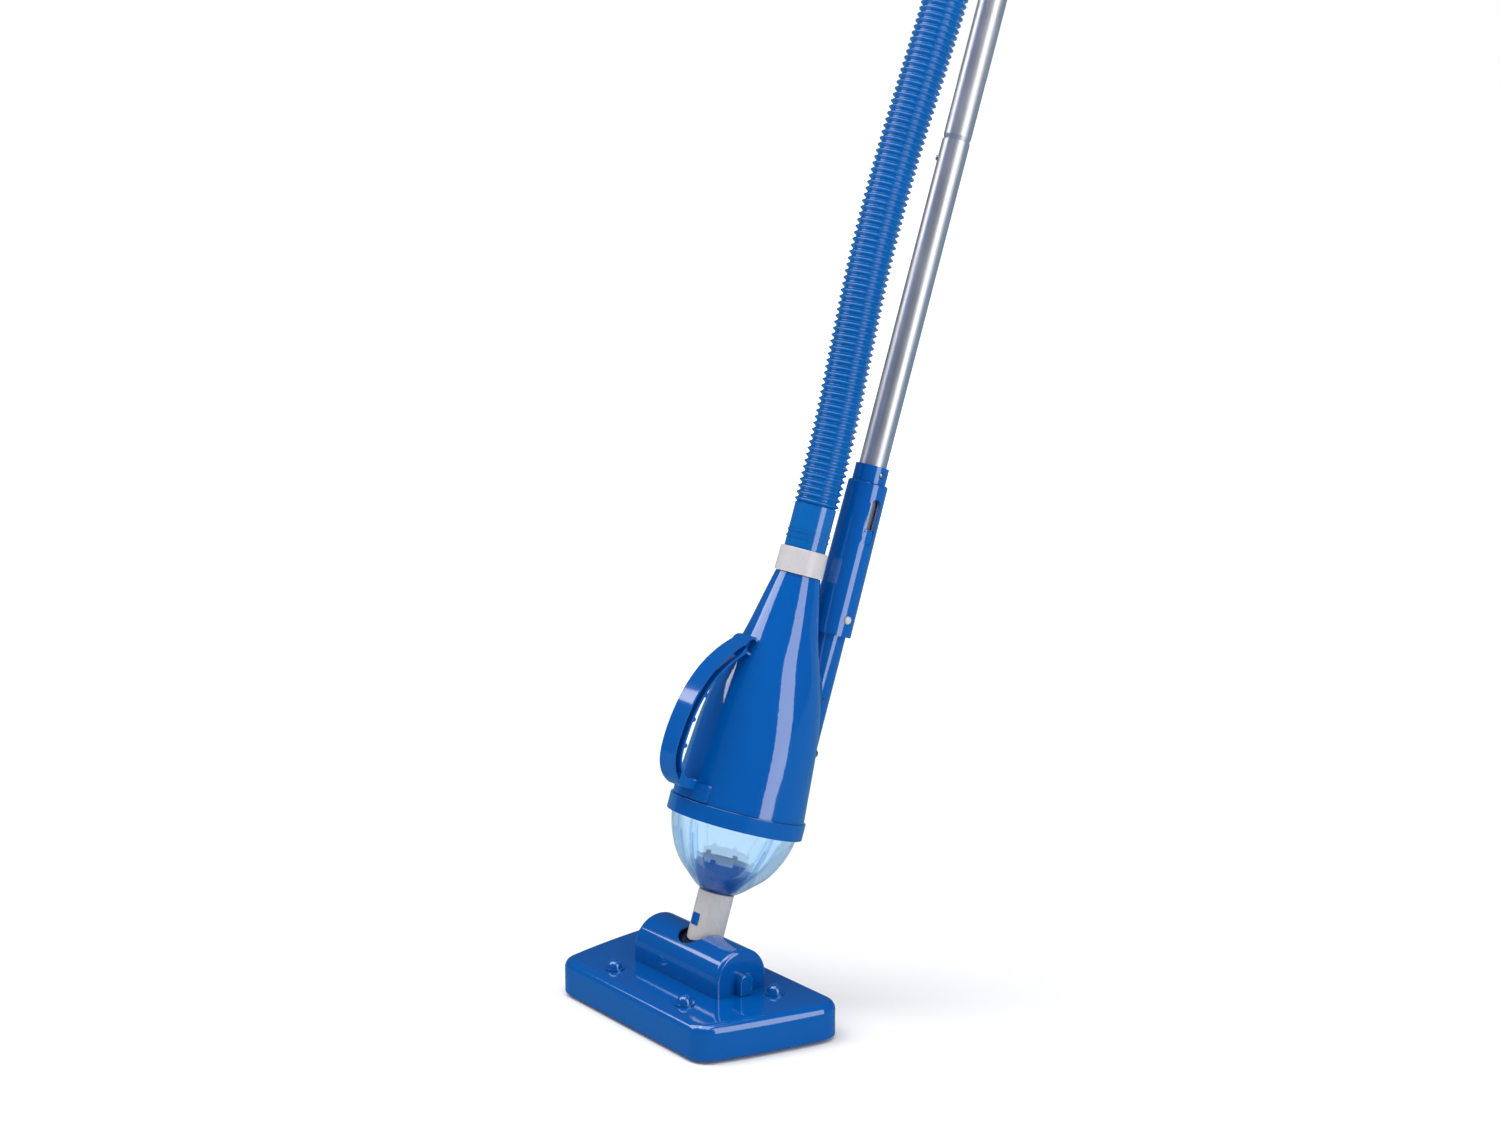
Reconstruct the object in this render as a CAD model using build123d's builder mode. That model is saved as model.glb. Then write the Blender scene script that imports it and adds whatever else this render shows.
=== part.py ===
"""Pool cleaner: a suction head on wheels, a swivel neck, a clear debris dome, a collector body with a
carrying handle, a suction hose, and a plug-in pole clipped beside the hose.

Millimetres. The origin is on the pool floor, straight below the axis that the neck swivels on.
+X runs along that axis, +Y is the side that the pole leans to, +Z is up.
Everything above the swivel is drawn upright along its own axis, with z measured from the swivel axis
(called "up the tool" below) and +Y towards the pole. LEANED then tilts it to how it stands.
"""

import os
from math import cos, pi, radians, sin, tan

from build123d import *

# ---------------------------------------------------------------- driving dimensions
LEAN = 18.2  # the tool leans back from upright

# suction head
RIDE_HEIGHT = 4.0  # the head's skirt above the floor, on its wheels
HEAD_HEIGHT = 33.5
FRONT_Y, FRONT_HALF = -86.3, 117.5
BACK_Y, BACK_HALF = 66.0, 147.0
SIDE_BOW = 4.0  # how far each side bulges past a straight line
HEAD_CORNER = 22.0
HEAD_EDGE = 9.0  # rounding of the top edge
HEAD_WALL = 2.6
BARREL_R, BARREL_HALF = 30.3, 68.8
SWIVEL_ABOVE_TOP = 12.8  # swivel axis over the head's flat top
BARREL_WALL = 2.5
BARREL_EDGE = 4.0  # rounding of the barrel's ends
TILT_FORWARD, TILT_BACK = -5.0, 46.0  # how far the tool tips over the head, from upright
BUMP_FRONT = (58.8, -59.7)
BUMP_REAR = (88.0, 25.2)
BUMP_R, BUMP_FLANGE_R, BUMP_FLANGE_T = 7.5, 10.0, 1.6
BASE_T = 2.5
MOUTH_LONG, MOUTH_WIDE = 176.0, 16.0
WHEEL_R, WHEEL_W = 9.0, 8.0
WHEEL_AXLE_R = 1.5

# neck, cup and dome
NECK_R, NECK_BORE = 17.7, 14.5
NECK_TOP = 69.0
DRUM_R, DRUM_HALF, DRUM_WALL = 25.0, 30.0, 2.2
TRUNNION_R = 5.0
CAP_WIDE, CAP_PROUD = 15.0, 9.0
WINDOW_S, WINDOW_W, WINDOW_H = 40.0, 10.0, 12.0
SPIGOT_WALL = 2.6
DOME_BOTTOM, DOME_WALL = 70.0, 2.2
DOME_OUTLINE = [(24, 74), (33, 82), (42.5, 91), (52, 105), (60.3, 126), (62.6, 138)]
DOME_TOP = 145.5
RIB_TURNS = (-99.5, -80.5, 0.0, 80.5, 99.5, 180.0)  # where the ribs stand round the dome's wall, from +X
RIB_T, RIB_PROUD, RIB_LOW, RIB_TOP = 2.0, 2.2, 80.0, 124.0
CUP_RIM_R, CUP_RIM_S, CUP_WALL = 28.5, 101.0, 1.8
FLAP_R, FLAP_T, FLAP_SEAT_S = 13.6, 2.0, 86.0
FLAP_PIN_R = 1.2
COLLAR_R, COLLAR_BOTTOM, COLLAR_TOP = 68.0, 138.0, 154.6

# collector body
BODY_BOTTOM, BODY_WALL = 155.0, 3.0
BODY_OUTLINE = [(66, 155), (64.8, 170), (61.7, 212), (58.2, 245), (50, 282), (38, 321), (29.8, 356)]
BODY_TOP, BODY_TOP_R = 389.0, 22.3
HANDLE_OUTSIDE = [(-82, 165.5), (-97.5, 179), (-102, 209), (-97.5, 241), (-84, 277), (-62, 305), (-41, 320.3)]
HANDLE_INSIDE = [(-50, 301), (-61, 291), (-77, 269), (-88, 239), (-92, 209), (-89.5, 186), (-80, 175.5)]
HANDLE_WIDE, HANDLE_RIM, HANDLE_WEB = 23.0, 2.2, 8.0
GRIP_RIDGES = [(-82.5, 256), (-89.6, 231), (-91.8, 205)]  # small ribs under the fingers
HANDLE_EYE, HANDLE_EYE_R = (-42.5, 311.0), 9.0
FOOT_LOW, FOOT_HIGH, FOOT_END_Y = 165.0, 175.0, -60.0
PAD_R, PAD_HALF, PAD_LOW, PAD_HIGH = 68.6, 26.0, 156.0, 173.0

# hose and its joint to the body
SPIGOT_R, HOSE_BORE = 20.2, 19.0
NUT_R, NUT_LOW, NUT_HIGH = 23.7, 389.3, 414.0
CUFF_R, CUFF_TOP = 20.5, 458.0
HOSE_R, HOSE_WALL = 22.3, 2.2
END_CUFF_LONG, END_CUFF_R = 62.0, 23.4
HOSE_ROUTE = [
    (0.0, 0.0, 458.0),
    (0.0, 0.0, 528.0),
    (-1.0, -5.0, 612.0),
    (-2.5, -9.5, 700.0),
    (-2.5, -9.0, 800.0),
    (-1.0, -4.0, 900.0),
    (0.0, 0.0, 980.0),
    (0.0, 0.0, 1075.0),
    (0.5, -2.5, 1160.0),
    (0.5, -2.0, 1250.0),
    (0.0, 0.0, 1320.0),
    (0.0, 0.0, 1408.0),
]

# pole
POLE_OFFSET = 58.0
POLE_R, POLE_WALL = 14.0, 1.2
POLE_FOOT, JOIN_LOW, JOIN_HIGH, POLE_END = 424.0, 842.0, 1190.0, 1538.0
INSERT_LONG, SHOULDER = 46.0, 5.0
STUB_R, STUB_WALL, STUB_LOW, STUB_TOP = 16.5, 2.6, 204.0, 381.0
SADDLE_T, SADDLE_HALF, SADDLE_LOW, SADDLE_HIGH = 3.0, 25.0, 210.0, 296.0
SLEEVE_R_LOW, SLEEVE_R_HIGH, SLEEVE_LOW, SLEEVE_HIGH = 21.3, 20.0, 340.0, 494.0
NECKING_R, NECKING_TOP = 16.9, 511.0
SLIT_LOW, SLIT_HIGH, SLIT_WIDE = 433.0, 479.0, 12.4
SLIDER_LONG, SLIDER_FACE_R = 15.0, 20.0
FLANGE_ROOM = 1.7  # between the pole and the sleeve, along the slit
BUTTON_BIG_R, BUTTON_SMALL_R = 4.0, 2.8
STUB_BUTTON_S, SLEEVE_BUTTON_S = 357.0, 503.0
JOIN_BUTTON_BELOW = 20.0
JOIN_BUTTON_TURN = 233.0  # the joins' buttons face this way round the pole, from +X
GRIP_R, GRIP_LOW, GRIP_TOP = 16.8, 1430.0, 1550.0
HANG_HOLE_R, HANG_TAB_T = 5.0, 11.0
CLIP_LOW_S, CLIP_HIGH_S, CLIP_TALL, CLIP_WALL = 1028.0, 1364.0, 22.0, 2.6

# fits and clearances
RUNNING = 0.05  # radial, a shaft turning in its hole
SEATED = 0.05  # radial, tubes and plugs that go together and stay
FREE = 0.3  # between curved faces that pass each other
SLIDING = 0.15  # a button or slider in its guide

# ---------------------------------------------------------------- values that follow
HEAD_TOP = RIDE_HEIGHT + HEAD_HEIGHT
SWIVEL_Z = HEAD_TOP + SWIVEL_ABOVE_TOP
LEANED = Location((0, 0, SWIVEL_Z), (-LEAN, 0, 0))
BUMPS = [(sx * x, y) for x, y in (BUMP_FRONT, BUMP_REAR) for sx in (-1, 1)]
BASE_Z = RIDE_HEIGHT + 1.0
BASE_TOP = BASE_Z + BASE_T
POLE_BORE = POLE_R - POLE_WALL
SCREW_R, SCREW_HEAD_R, SCREW_HEAD_T = 1.9, 3.6, 2.2
SIDE = Plane.XZ  # local x is the radius and local y is up the tool

os.makedirs("parts", exist_ok=True)


def write(piece, name, place=Location()):
    """Label a finished piece, put it where it belongs and write its STEP file."""
    piece.part = piece.part.moved(place)
    piece.part.label = name
    export_step(piece.part, f"parts/{name}.step")


def revolved(points, bottom, top):
    """A solid of revolution about Z: a curve through the points, closed by flats at bottom and top."""
    flats = [points[-1], (points[-1][0], top), (0, top), (0, bottom), (points[0][0], bottom), points[0]]
    flats = [here for here, before in zip(flats, [None, *flats]) if here != before]
    with BuildPart() as solid:
        with BuildSketch(SIDE):
            with BuildLine():
                Spline(*points)
                Polyline(*flats)
            make_face()
        revolve(axis=Axis.Z)
    return solid.part


def outline_radius(points, s):
    """How far out a curve through the points is, at a height."""
    curve = Edge.make_spline([Vector(*point) for point in points])
    low, high = 0.0, 1.0
    for _ in range(40):
        middle = (low + high) / 2
        if (curve @ middle).Y < s:
            low = middle
        else:
            high = middle
    return (curve @ low).X


def ring(inner, outer, low, high):
    """A plain ring about Z."""
    with BuildPart() as made:
        with BuildSketch(Plane.XY.offset(low)):
            Circle(outer)
            Circle(inner, mode=Mode.SUBTRACT)
        extrude(amount=high - low)
    return made.part


# ================================================================ SUCTION HEAD
def head_block(inset, low, high, edge):
    """The head's plan, drawn in by inset, raised from low to high with a rounded top edge."""
    middle_y = (FRONT_Y + BACK_Y) / 2
    middle_x = (FRONT_HALF + BACK_HALF) / 2 + SIDE_BOW
    with BuildPart() as block:
        with BuildSketch(Plane.XY.offset(low)):
            with BuildLine():
                front = Line((-FRONT_HALF, FRONT_Y), (FRONT_HALF, FRONT_Y))
                ThreePointArc(front @ 1, (middle_x, middle_y), (BACK_HALF, BACK_Y))
                back = Line((BACK_HALF, BACK_Y), (-BACK_HALF, BACK_Y))
                ThreePointArc(back @ 1, (-middle_x, middle_y), front @ 0)
            make_face()
            fillet(vertices(), HEAD_CORNER)
            if inset:
                offset(amount=-inset, mode=Mode.REPLACE)
        extrude(amount=high - low)
        if edge:
            fillet(faces().sort_by(Axis.Z)[-1].edges(), edge)
    return block.part


def barrel_block(radius, half, low, edge):
    """An upside-down U along X: a half cylinder about the swivel axis on straight sides, with rounded ends."""
    with BuildPart() as block:
        with BuildSketch(Plane.YZ.offset(-half)):
            with Locations((0, SWIVEL_Z)):
                Circle(radius)
            with Locations((0, (SWIVEL_Z + low) / 2)):
                Rectangle(2 * radius, SWIVEL_Z - low)
        extrude(amount=2 * half)
        rims = [rim for rim in edges() if abs(rim.center().X) > half - 0.1 and rim.center().Z > low + 1]
        fillet(rims, edge)
    return block.part


def neck_slot():
    """The space that the neck sweeps through the barrel: a hole at each end and a sector between."""
    wide = NECK_R + 0.6
    with BuildPart() as slot:
        for tilt in (TILT_FORWARD, TILT_BACK):
            with BuildSketch(Plane(Location((0, 0, SWIVEL_Z), (-tilt, 0, 0)))):
                Circle(wide)
            extrude(amount=BARREL_R + 6)
        with BuildSketch(Plane(Location((0, 0, SWIVEL_Z), (90 - TILT_FORWARD, 0, 0)))):
            with Locations((0, (BARREL_R + 6) / 2)):
                Rectangle(2 * wide, BARREL_R + 6)
        revolve(axis=Axis((0, 0, SWIVEL_Z), (-1, 0, 0)), revolution_arc=TILT_BACK - TILT_FORWARD)
    return slot.part


WHEEL_Y_FRONT, WHEEL_Y_REAR = BUMP_FRONT[1], BUMP_REAR[1]
WHEELS = {
    "wheel_front_left": (-BUMP_FRONT[0], WHEEL_Y_FRONT),
    "wheel_front_right": (BUMP_FRONT[0], WHEEL_Y_FRONT),
    "wheel_rear_left": (-BUMP_REAR[0], WHEEL_Y_REAR),
    "wheel_rear_right": (BUMP_REAR[0], WHEEL_Y_REAR),
}
FORK_T = 2.2
FORK_HALF = WHEEL_W / 2 + 0.5 + FORK_T
POCKET_LONG, POCKET_WIDE = 2 * WHEEL_R + 4, 2 * FORK_HALF + 1
POST_R = 4.0
SCREW_POSTS = [(-98, -52), (0, -66), (98, -52), (-124, 44), (0, 50), (124, 44)]
SHELL_ROOF = HEAD_TOP - HEAD_WALL
outer_head = head_block(0, RIDE_HEIGHT, HEAD_TOP, HEAD_EDGE)
inner_head = head_block(HEAD_WALL, RIDE_HEIGHT - 1, SHELL_ROOF, HEAD_EDGE - HEAD_WALL)
outer_barrel = barrel_block(BARREL_R, BARREL_HALF, SHELL_ROOF, BARREL_EDGE)
inner_barrel = barrel_block(
    BARREL_R - BARREL_WALL, BARREL_HALF - BARREL_WALL, RIDE_HEIGHT, BARREL_EDGE - BARREL_WALL
)
slot_space = neck_slot()

with BuildPart() as head_shell:
    add(outer_head)
    add(outer_barrel)
    add(inner_head, mode=Mode.SUBTRACT)
    add(inner_barrel, mode=Mode.SUBTRACT)
    # posts for the base plate's screws, and sockets for the wheel forks' stems
    with BuildSketch(Plane.XY.offset(BASE_TOP)):
        with Locations(*SCREW_POSTS):
            Circle(4.6)
    extrude(amount=SHELL_ROOF - BASE_TOP + 0.5)
    with BuildSketch(Plane.XY.offset(BASE_TOP)):
        with Locations(*SCREW_POSTS):
            Circle(SCREW_R - 0.2)
    extrude(amount=12, mode=Mode.SUBTRACT)
    with BuildSketch(Plane.XY.offset(SHELL_ROOF - 8)):
        with Locations(*BUMPS):
            Circle(POST_R + 2.4)
    extrude(amount=8.5)
    with BuildSketch(Plane.XY.offset(SHELL_ROOF - 9)):
        with Locations(*BUMPS):
            Circle(POST_R + SEATED)
    extrude(amount=HEAD_WALL + 10, mode=Mode.SUBTRACT)
    add(slot_space, mode=Mode.SUBTRACT)
    # notches in the end walls for the axle caps
    with BuildSketch(Plane.YZ.offset(-BARREL_HALF - 1)):
        with Locations((0, SWIVEL_Z)):
            Circle(CAP_WIDE / 2 + SEATED)
        with Locations((0, (SWIVEL_Z + HEAD_TOP) / 2)):
            Rectangle(CAP_WIDE + 2 * SEATED, SWIVEL_Z - HEAD_TOP)
    extrude(amount=2 * BARREL_HALF + 2, mode=Mode.SUBTRACT)
write(head_shell, "head_shell")

with BuildPart() as base_plate:
    add(head_block(HEAD_WALL + 0.3, BASE_Z, BASE_TOP, 0))
    with BuildSketch(Plane.XY.offset(BASE_Z)):
        RectangleRounded(MOUTH_LONG, MOUTH_WIDE, MOUTH_WIDE / 2 - 0.5)
        with Locations(*WHEELS.values()):
            RectangleRounded(POCKET_WIDE, POCKET_LONG, 2)
        with Locations(*SCREW_POSTS):
            Circle(SCREW_R + 0.2)
    extrude(amount=BASE_T, mode=Mode.SUBTRACT)
write(base_plate, "base_plate")

with BuildPart() as base_screws:
    with BuildSketch(Plane.XY.offset(BASE_Z - SCREW_HEAD_T / 2)):
        with Locations(*SCREW_POSTS):
            Circle(SCREW_HEAD_R)
    extrude(amount=SCREW_HEAD_T / 2)
    with BuildSketch(Plane.XY.offset(BASE_Z)):
        with Locations(*SCREW_POSTS):
            Circle(SCREW_R - 0.2)
    extrude(amount=BASE_T + 10)
write(base_screws, "base_screws")

# the duct that gathers the flow from the long mouth up to the drum, and seats against the drum
DUCT_LOW, DUCT_HIGH = BASE_TOP, SWIVEL_Z - 17.0


def duct_block(wall):
    """The duct's outside, or with a wall its inside."""
    with BuildPart() as block:
        with BuildSketch(Plane.XY.offset(DUCT_LOW)):
            RectangleRounded(MOUTH_LONG + 8 - 2 * wall, MOUTH_WIDE + 8 - 2 * wall, 7 - wall)
        with BuildSketch(Plane.XY.offset(DUCT_HIGH)):
            RectangleRounded(2 * DRUM_HALF - 2 * wall, 2 * DRUM_R - 6 - 2 * wall, 7 - wall)
        loft()
    return block.part


duct_outside, duct_inside = duct_block(0), duct_block(2.2)
with BuildPart() as suction_duct:
    add(duct_outside)
    add(duct_inside, mode=Mode.SUBTRACT)
    with BuildSketch(Plane.YZ.offset(-DRUM_HALF - 40)):
        with Locations((0, SWIVEL_Z)):
            Circle(DRUM_R + FREE)
    extrude(amount=2 * DRUM_HALF + 80, mode=Mode.SUBTRACT)
write(suction_duct, "suction_duct")

# steel bars that keep the head down on the pool floor
with BuildPart() as ballast_bars:
    with BuildSketch(Plane.XY.offset(BASE_TOP)):
        with Locations((0, -44)):
            RectangleRounded(84, 12, 2)
        with Locations((-52, 44), (52, 44)):
            RectangleRounded(50, 11, 2)
    extrude(amount=8)
write(ballast_bars, "ballast_bars")

# axle caps: D-shaped plugs in the barrel's end walls, which carry the neck's trunnions
for name, side in (("axle_cap_left", -1), ("axle_cap_right", 1)):
    with BuildPart() as axle_cap:
        with BuildSketch(Plane.YZ.offset(side * (BARREL_HALF - BARREL_WALL))):
            with Locations((0, SWIVEL_Z)):
                Circle(CAP_WIDE / 2)
            with Locations((0, (SWIVEL_Z + HEAD_TOP) / 2)):
                Rectangle(CAP_WIDE, SWIVEL_Z - HEAD_TOP)
        extrude(amount=side * (BARREL_WALL + CAP_PROUD))
        fillet(faces().sort_by(Axis.X)[-1 if side > 0 else 0].edges(), 1.2)
        with BuildSketch(Plane.YZ.offset(side * (BARREL_HALF - BARREL_WALL))):
            with Locations((0, SWIVEL_Z)):
                Circle(TRUNNION_R + RUNNING)
        extrude(amount=side * (BARREL_WALL + CAP_PROUD - 1.8), mode=Mode.SUBTRACT)
    write(axle_cap, name)

# domed caps on the stems of the wheel forks
with BuildPart() as post_caps:
    with BuildSketch(Plane.XY.offset(HEAD_TOP)):
        with Locations(*BUMPS):
            Circle(BUMP_FLANGE_R)
    extrude(amount=BUMP_FLANGE_T)
    with Locations(*[(x, y, HEAD_TOP + BUMP_FLANGE_T) for x, y in BUMPS]):
        Sphere(BUMP_R, arc_size1=0, align=(Align.CENTER, Align.CENTER, Align.MIN))
write(post_caps, "post_caps")

FORK_TOP = RIDE_HEIGHT + 2 * WHEEL_R
with BuildPart() as wheel_forks:
    for x, y in WHEELS.values():
        with BuildSketch(Plane.XY.offset(FORK_TOP)):
            with Locations((x, y)):
                RectangleRounded(2 * FORK_HALF, 12, 1.5)
        extrude(amount=3)
        with BuildSketch(Plane.XY.offset(FORK_TOP + 3)):
            with Locations((x, y)):
                Circle(POST_R)
        extrude(amount=HEAD_TOP - FORK_TOP - 3)
        for cheek in (x - FORK_HALF, x + FORK_HALF - FORK_T):
            with BuildSketch(Plane.YZ.offset(cheek)):
                with Locations((y, WHEEL_R)):
                    Circle(4.2)
                with Locations((y, (WHEEL_R + FORK_TOP) / 2)):
                    Rectangle(8.4, FORK_TOP - WHEEL_R)
                with Locations((y, WHEEL_R)):
                    Circle(WHEEL_AXLE_R, mode=Mode.SUBTRACT)
            extrude(amount=FORK_T)
write(wheel_forks, "wheel_forks")

with BuildPart() as wheel_axles:
    for x, y in WHEELS.values():
        with BuildSketch(Plane.YZ.offset(x - FORK_HALF)):
            with Locations((y, WHEEL_R)):
                Circle(WHEEL_AXLE_R)
        extrude(amount=2 * FORK_HALF)
write(wheel_axles, "wheel_axles")

for name, (x, y) in WHEELS.items():
    with BuildPart() as wheel:
        with BuildSketch(Plane.YZ.offset(x - WHEEL_W / 2)):
            with Locations((y, WHEEL_R)):
                Circle(WHEEL_R)
                Circle(WHEEL_AXLE_R + RUNNING, mode=Mode.SUBTRACT)
        extrude(amount=WHEEL_W)
        chamfer(edges().filter_by(GeomType.CIRCLE).sort_by(SortBy.RADIUS)[-2:], 0.9)
    write(wheel, name)

# ================================================================ SWIVEL NECK
MID_TILT = (TILT_FORWARD + TILT_BACK) / 2
with BuildPart() as swivel_neck:
    Cylinder(DRUM_R, 2 * DRUM_HALF, rotation=(0, 90, 0))
    Cylinder(TRUNNION_R, 2 * (BARREL_HALF + CAP_PROUD - 2.2), rotation=(0, 90, 0))
    with BuildSketch(Plane.XY):
        Circle(NECK_R)
    extrude(amount=NECK_TOP)
    fillet(edges().filter_by(GeomType.CIRCLE).group_by(Axis.Z)[-1], 0.8)
    Cylinder(DRUM_R - DRUM_WALL, 2 * (DRUM_HALF - DRUM_WALL), rotation=(0, 90, 0), mode=Mode.SUBTRACT)
    with BuildSketch(Plane.XY):
        Circle(NECK_BORE)
    extrude(amount=NECK_TOP, mode=Mode.SUBTRACT)
    # the drum is open below, towards the duct, at every tilt
    with BuildSketch(Plane.YZ.offset(-DRUM_HALF + DRUM_WALL)):
        with BuildLine():
            reach = 40.0
            ends = [radians(-90 + MID_TILT + turn) for turn in (-48, 0, 48)]
            corners = [(reach * cos(end), reach * sin(end)) for end in ends]
            Polyline((0, 0), *corners, (0, 0))
        make_face()
    extrude(amount=2 * (DRUM_HALF - DRUM_WALL), mode=Mode.SUBTRACT)
    with BuildSketch(Plane.XZ.offset(NECK_BORE - 4)):
        with Locations((0, WINDOW_S)):
            RectangleRounded(WINDOW_W, WINDOW_H, 1)
    extrude(amount=12, mode=Mode.SUBTRACT)
write(swivel_neck, "swivel_neck", LEANED)

with BuildPart() as drum_seals:
    for side in (-1, 1):
        with BuildSketch(Plane.YZ.offset(side * (DRUM_HALF + 0.05))):
            Circle(TRUNNION_R + 4)
            Circle(TRUNNION_R, mode=Mode.SUBTRACT)
        extrude(amount=side * 2.4)
write(drum_seals, "drum_seals", LEANED)

# ================================================================ INLET CUP, FLAP AND LATCH
SPIGOT_OUT = NECK_BORE - 0.3
SPIGOT_IN = SPIGOT_OUT - SPIGOT_WALL
SPIGOT_LOW = 29.0
CUP_FLOOR = DOME_BOTTOM + DOME_WALL
FLAP_HINGE_Y = -(FLAP_R + 2.9)
with BuildPart() as inlet_cup:
    with BuildSketch(SIDE):
        with BuildLine():
            Polyline(
                (SPIGOT_IN, SPIGOT_LOW),
                (SPIGOT_OUT, SPIGOT_LOW),
                (SPIGOT_OUT, CUP_FLOOR),
                (SPIGOT_OUT + 3.6, CUP_FLOOR),
            )
            Spline((SPIGOT_OUT + 3.6, CUP_FLOOR), (24.6, 83.0), (CUP_RIM_R, CUP_RIM_S))
            Line((CUP_RIM_R, CUP_RIM_S), (CUP_RIM_R - CUP_WALL, CUP_RIM_S))
            Spline(
                (CUP_RIM_R - CUP_WALL, CUP_RIM_S),
                (24.6 - CUP_WALL, 83.6),
                (SPIGOT_OUT + 3.0, CUP_FLOOR + 2),
            )
            Polyline(
                (SPIGOT_OUT + 3.0, CUP_FLOOR + 2),
                (SPIGOT_OUT, CUP_FLOOR + 2),
                (SPIGOT_OUT, FLAP_SEAT_S),
                (SPIGOT_IN, FLAP_SEAT_S),
                (SPIGOT_IN, SPIGOT_LOW),
            )
        make_face()
    revolve(axis=Axis.Z)
    # tabs on the rim
    with BuildSketch(Plane.XY.offset(CUP_RIM_S)):
        with PolarLocations(CUP_RIM_R - CUP_WALL / 2, 6):
            Rectangle(CUP_WALL, 5)
    extrude(amount=3.2)
    # lugs for the flap's pin
    for x in (-7.5, 4.5):
        with BuildSketch(Plane.YZ.offset(x)):
            with Locations((FLAP_HINGE_Y, FLAP_SEAT_S + FLAP_T / 2)):
                Circle(2.6)
            with Locations((FLAP_HINGE_Y - 0.3, FLAP_SEAT_S - 4)):
                Rectangle(4.6, 10)
            with Locations((FLAP_HINGE_Y, FLAP_SEAT_S + FLAP_T / 2)):
                Circle(FLAP_PIN_R, mode=Mode.SUBTRACT)
        extrude(amount=3)
    # slot that the latch looks through
    with BuildSketch(Plane.XZ.offset(SPIGOT_IN - 4)):
        with Locations((0, WINDOW_S)):
            RectangleRounded(WINDOW_W, WINDOW_H, 1)
    extrude(amount=12, mode=Mode.SUBTRACT)
write(inlet_cup, "inlet_cup", LEANED)

with BuildPart() as flap_pin:
    with BuildSketch(Plane.YZ.offset(-7.5)):
        with Locations((FLAP_HINGE_Y, FLAP_SEAT_S + FLAP_T / 2)):
            Circle(FLAP_PIN_R)
    extrude(amount=15)
write(flap_pin, "flap_pin", LEANED)

with BuildPart() as check_flap:
    with BuildSketch(Plane.XY.offset(FLAP_SEAT_S + 0.05)):
        Circle(FLAP_R)
        with Locations((0, FLAP_HINGE_Y / 2 - 1)):
            Rectangle(8, -FLAP_HINGE_Y - 2)
    extrude(amount=FLAP_T - 0.05)
    with BuildSketch(Plane.YZ.offset(-4)):
        with Locations((FLAP_HINGE_Y, FLAP_SEAT_S + FLAP_T / 2)):
            Circle(2.2)
    extrude(amount=8)
    with BuildSketch(Plane.YZ.offset(-4)):
        with Locations((FLAP_HINGE_Y, FLAP_SEAT_S + FLAP_T / 2)):
            Circle(FLAP_PIN_R + RUNNING)
    extrude(amount=8, mode=Mode.SUBTRACT)
write(check_flap, "check_flap", LEANED)

LATCH_TRAVEL = 2.6
with BuildPart() as neck_latch:
    with BuildSketch(Plane.XZ.offset(SPIGOT_IN - 1.6)):
        with Locations((0, WINDOW_S)):
            RectangleRounded(WINDOW_W - 2 * SLIDING, WINDOW_H - 2 * SLIDING, 0.8)
    extrude(amount=NECK_R + 0.9 - (SPIGOT_IN - 1.6))
    chamfer(faces().sort_by(Axis.Y)[0].edges(), 0.6)
write(neck_latch, "neck_latch", LEANED)

with BuildPart() as spigot_seal:
    add(ring(SPIGOT_OUT, NECK_BORE, 58.0, 60.0))
write(spigot_seal, "spigot_seal", LEANED)

# ================================================================ DEBRIS DOME
DOME_OUT = [(NECK_R + 0.3, DOME_BOTTOM)] + DOME_OUTLINE
DOME_IN = [(SPIGOT_OUT + 4.0, DOME_BOTTOM + DOME_WALL)] + [
    (r - DOME_WALL * 0.9, s + DOME_WALL * 0.5) for r, s in DOME_OUTLINE
]
dome_outside = revolved(DOME_OUT, DOME_BOTTOM, DOME_TOP)
dome_inside = revolved(DOME_IN, DOME_BOTTOM + DOME_WALL, DOME_TOP + 1)
dome_rib_face = revolved([(r - RIB_PROUD, s) for r, s in DOME_IN], DOME_BOTTOM + DOME_WALL, DOME_TOP + 1)
dome_rib_root = revolved([(r + DOME_WALL * 0.4, s) for r, s in DOME_IN], DOME_BOTTOM + DOME_WALL, DOME_TOP + 1)
with BuildPart() as ribs:
    add(dome_rib_root)
    with BuildSketch(Plane.XY.offset(RIB_LOW)):
        for turn in RIB_TURNS:
            with Locations(Location((0, 0, 0), (0, 0, turn))):
                with Locations((40, 0)):
                    Rectangle(70, RIB_T)
    extrude(amount=RIB_TOP - RIB_LOW, mode=Mode.INTERSECT)
    add(dome_rib_face, mode=Mode.SUBTRACT)
dome_ribs = ribs.part
FLANGE_LOW = COLLAR_BOTTOM + 3.0
with BuildPart() as debris_dome:
    add(dome_outside)
    add(dome_inside, mode=Mode.SUBTRACT)
    add(dome_ribs)
    add(ring(DOME_OUTLINE[-1][0] - 1, COLLAR_R - 2.5, FLANGE_LOW, DOME_TOP))
    with BuildSketch(Plane.XY.offset(DOME_BOTTOM - 1)):
        Circle(SPIGOT_OUT + SEATED)
    extrude(amount=DOME_WALL + 3, mode=Mode.SUBTRACT)
write(debris_dome, "debris_dome", LEANED)

with BuildPart() as dome_collar:
    add(ring(COLLAR_R - 2.3, COLLAR_R, COLLAR_BOTTOM, COLLAR_TOP))
    add(ring(DOME_OUTLINE[-1][0] + SEATED, COLLAR_R - 1, COLLAR_BOTTOM, FLANGE_LOW))
    fillet(edges().filter_by(GeomType.CIRCLE).sort_by(SortBy.RADIUS)[-2:], 0.7)
write(dome_collar, "dome_collar", LEANED)

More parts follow.
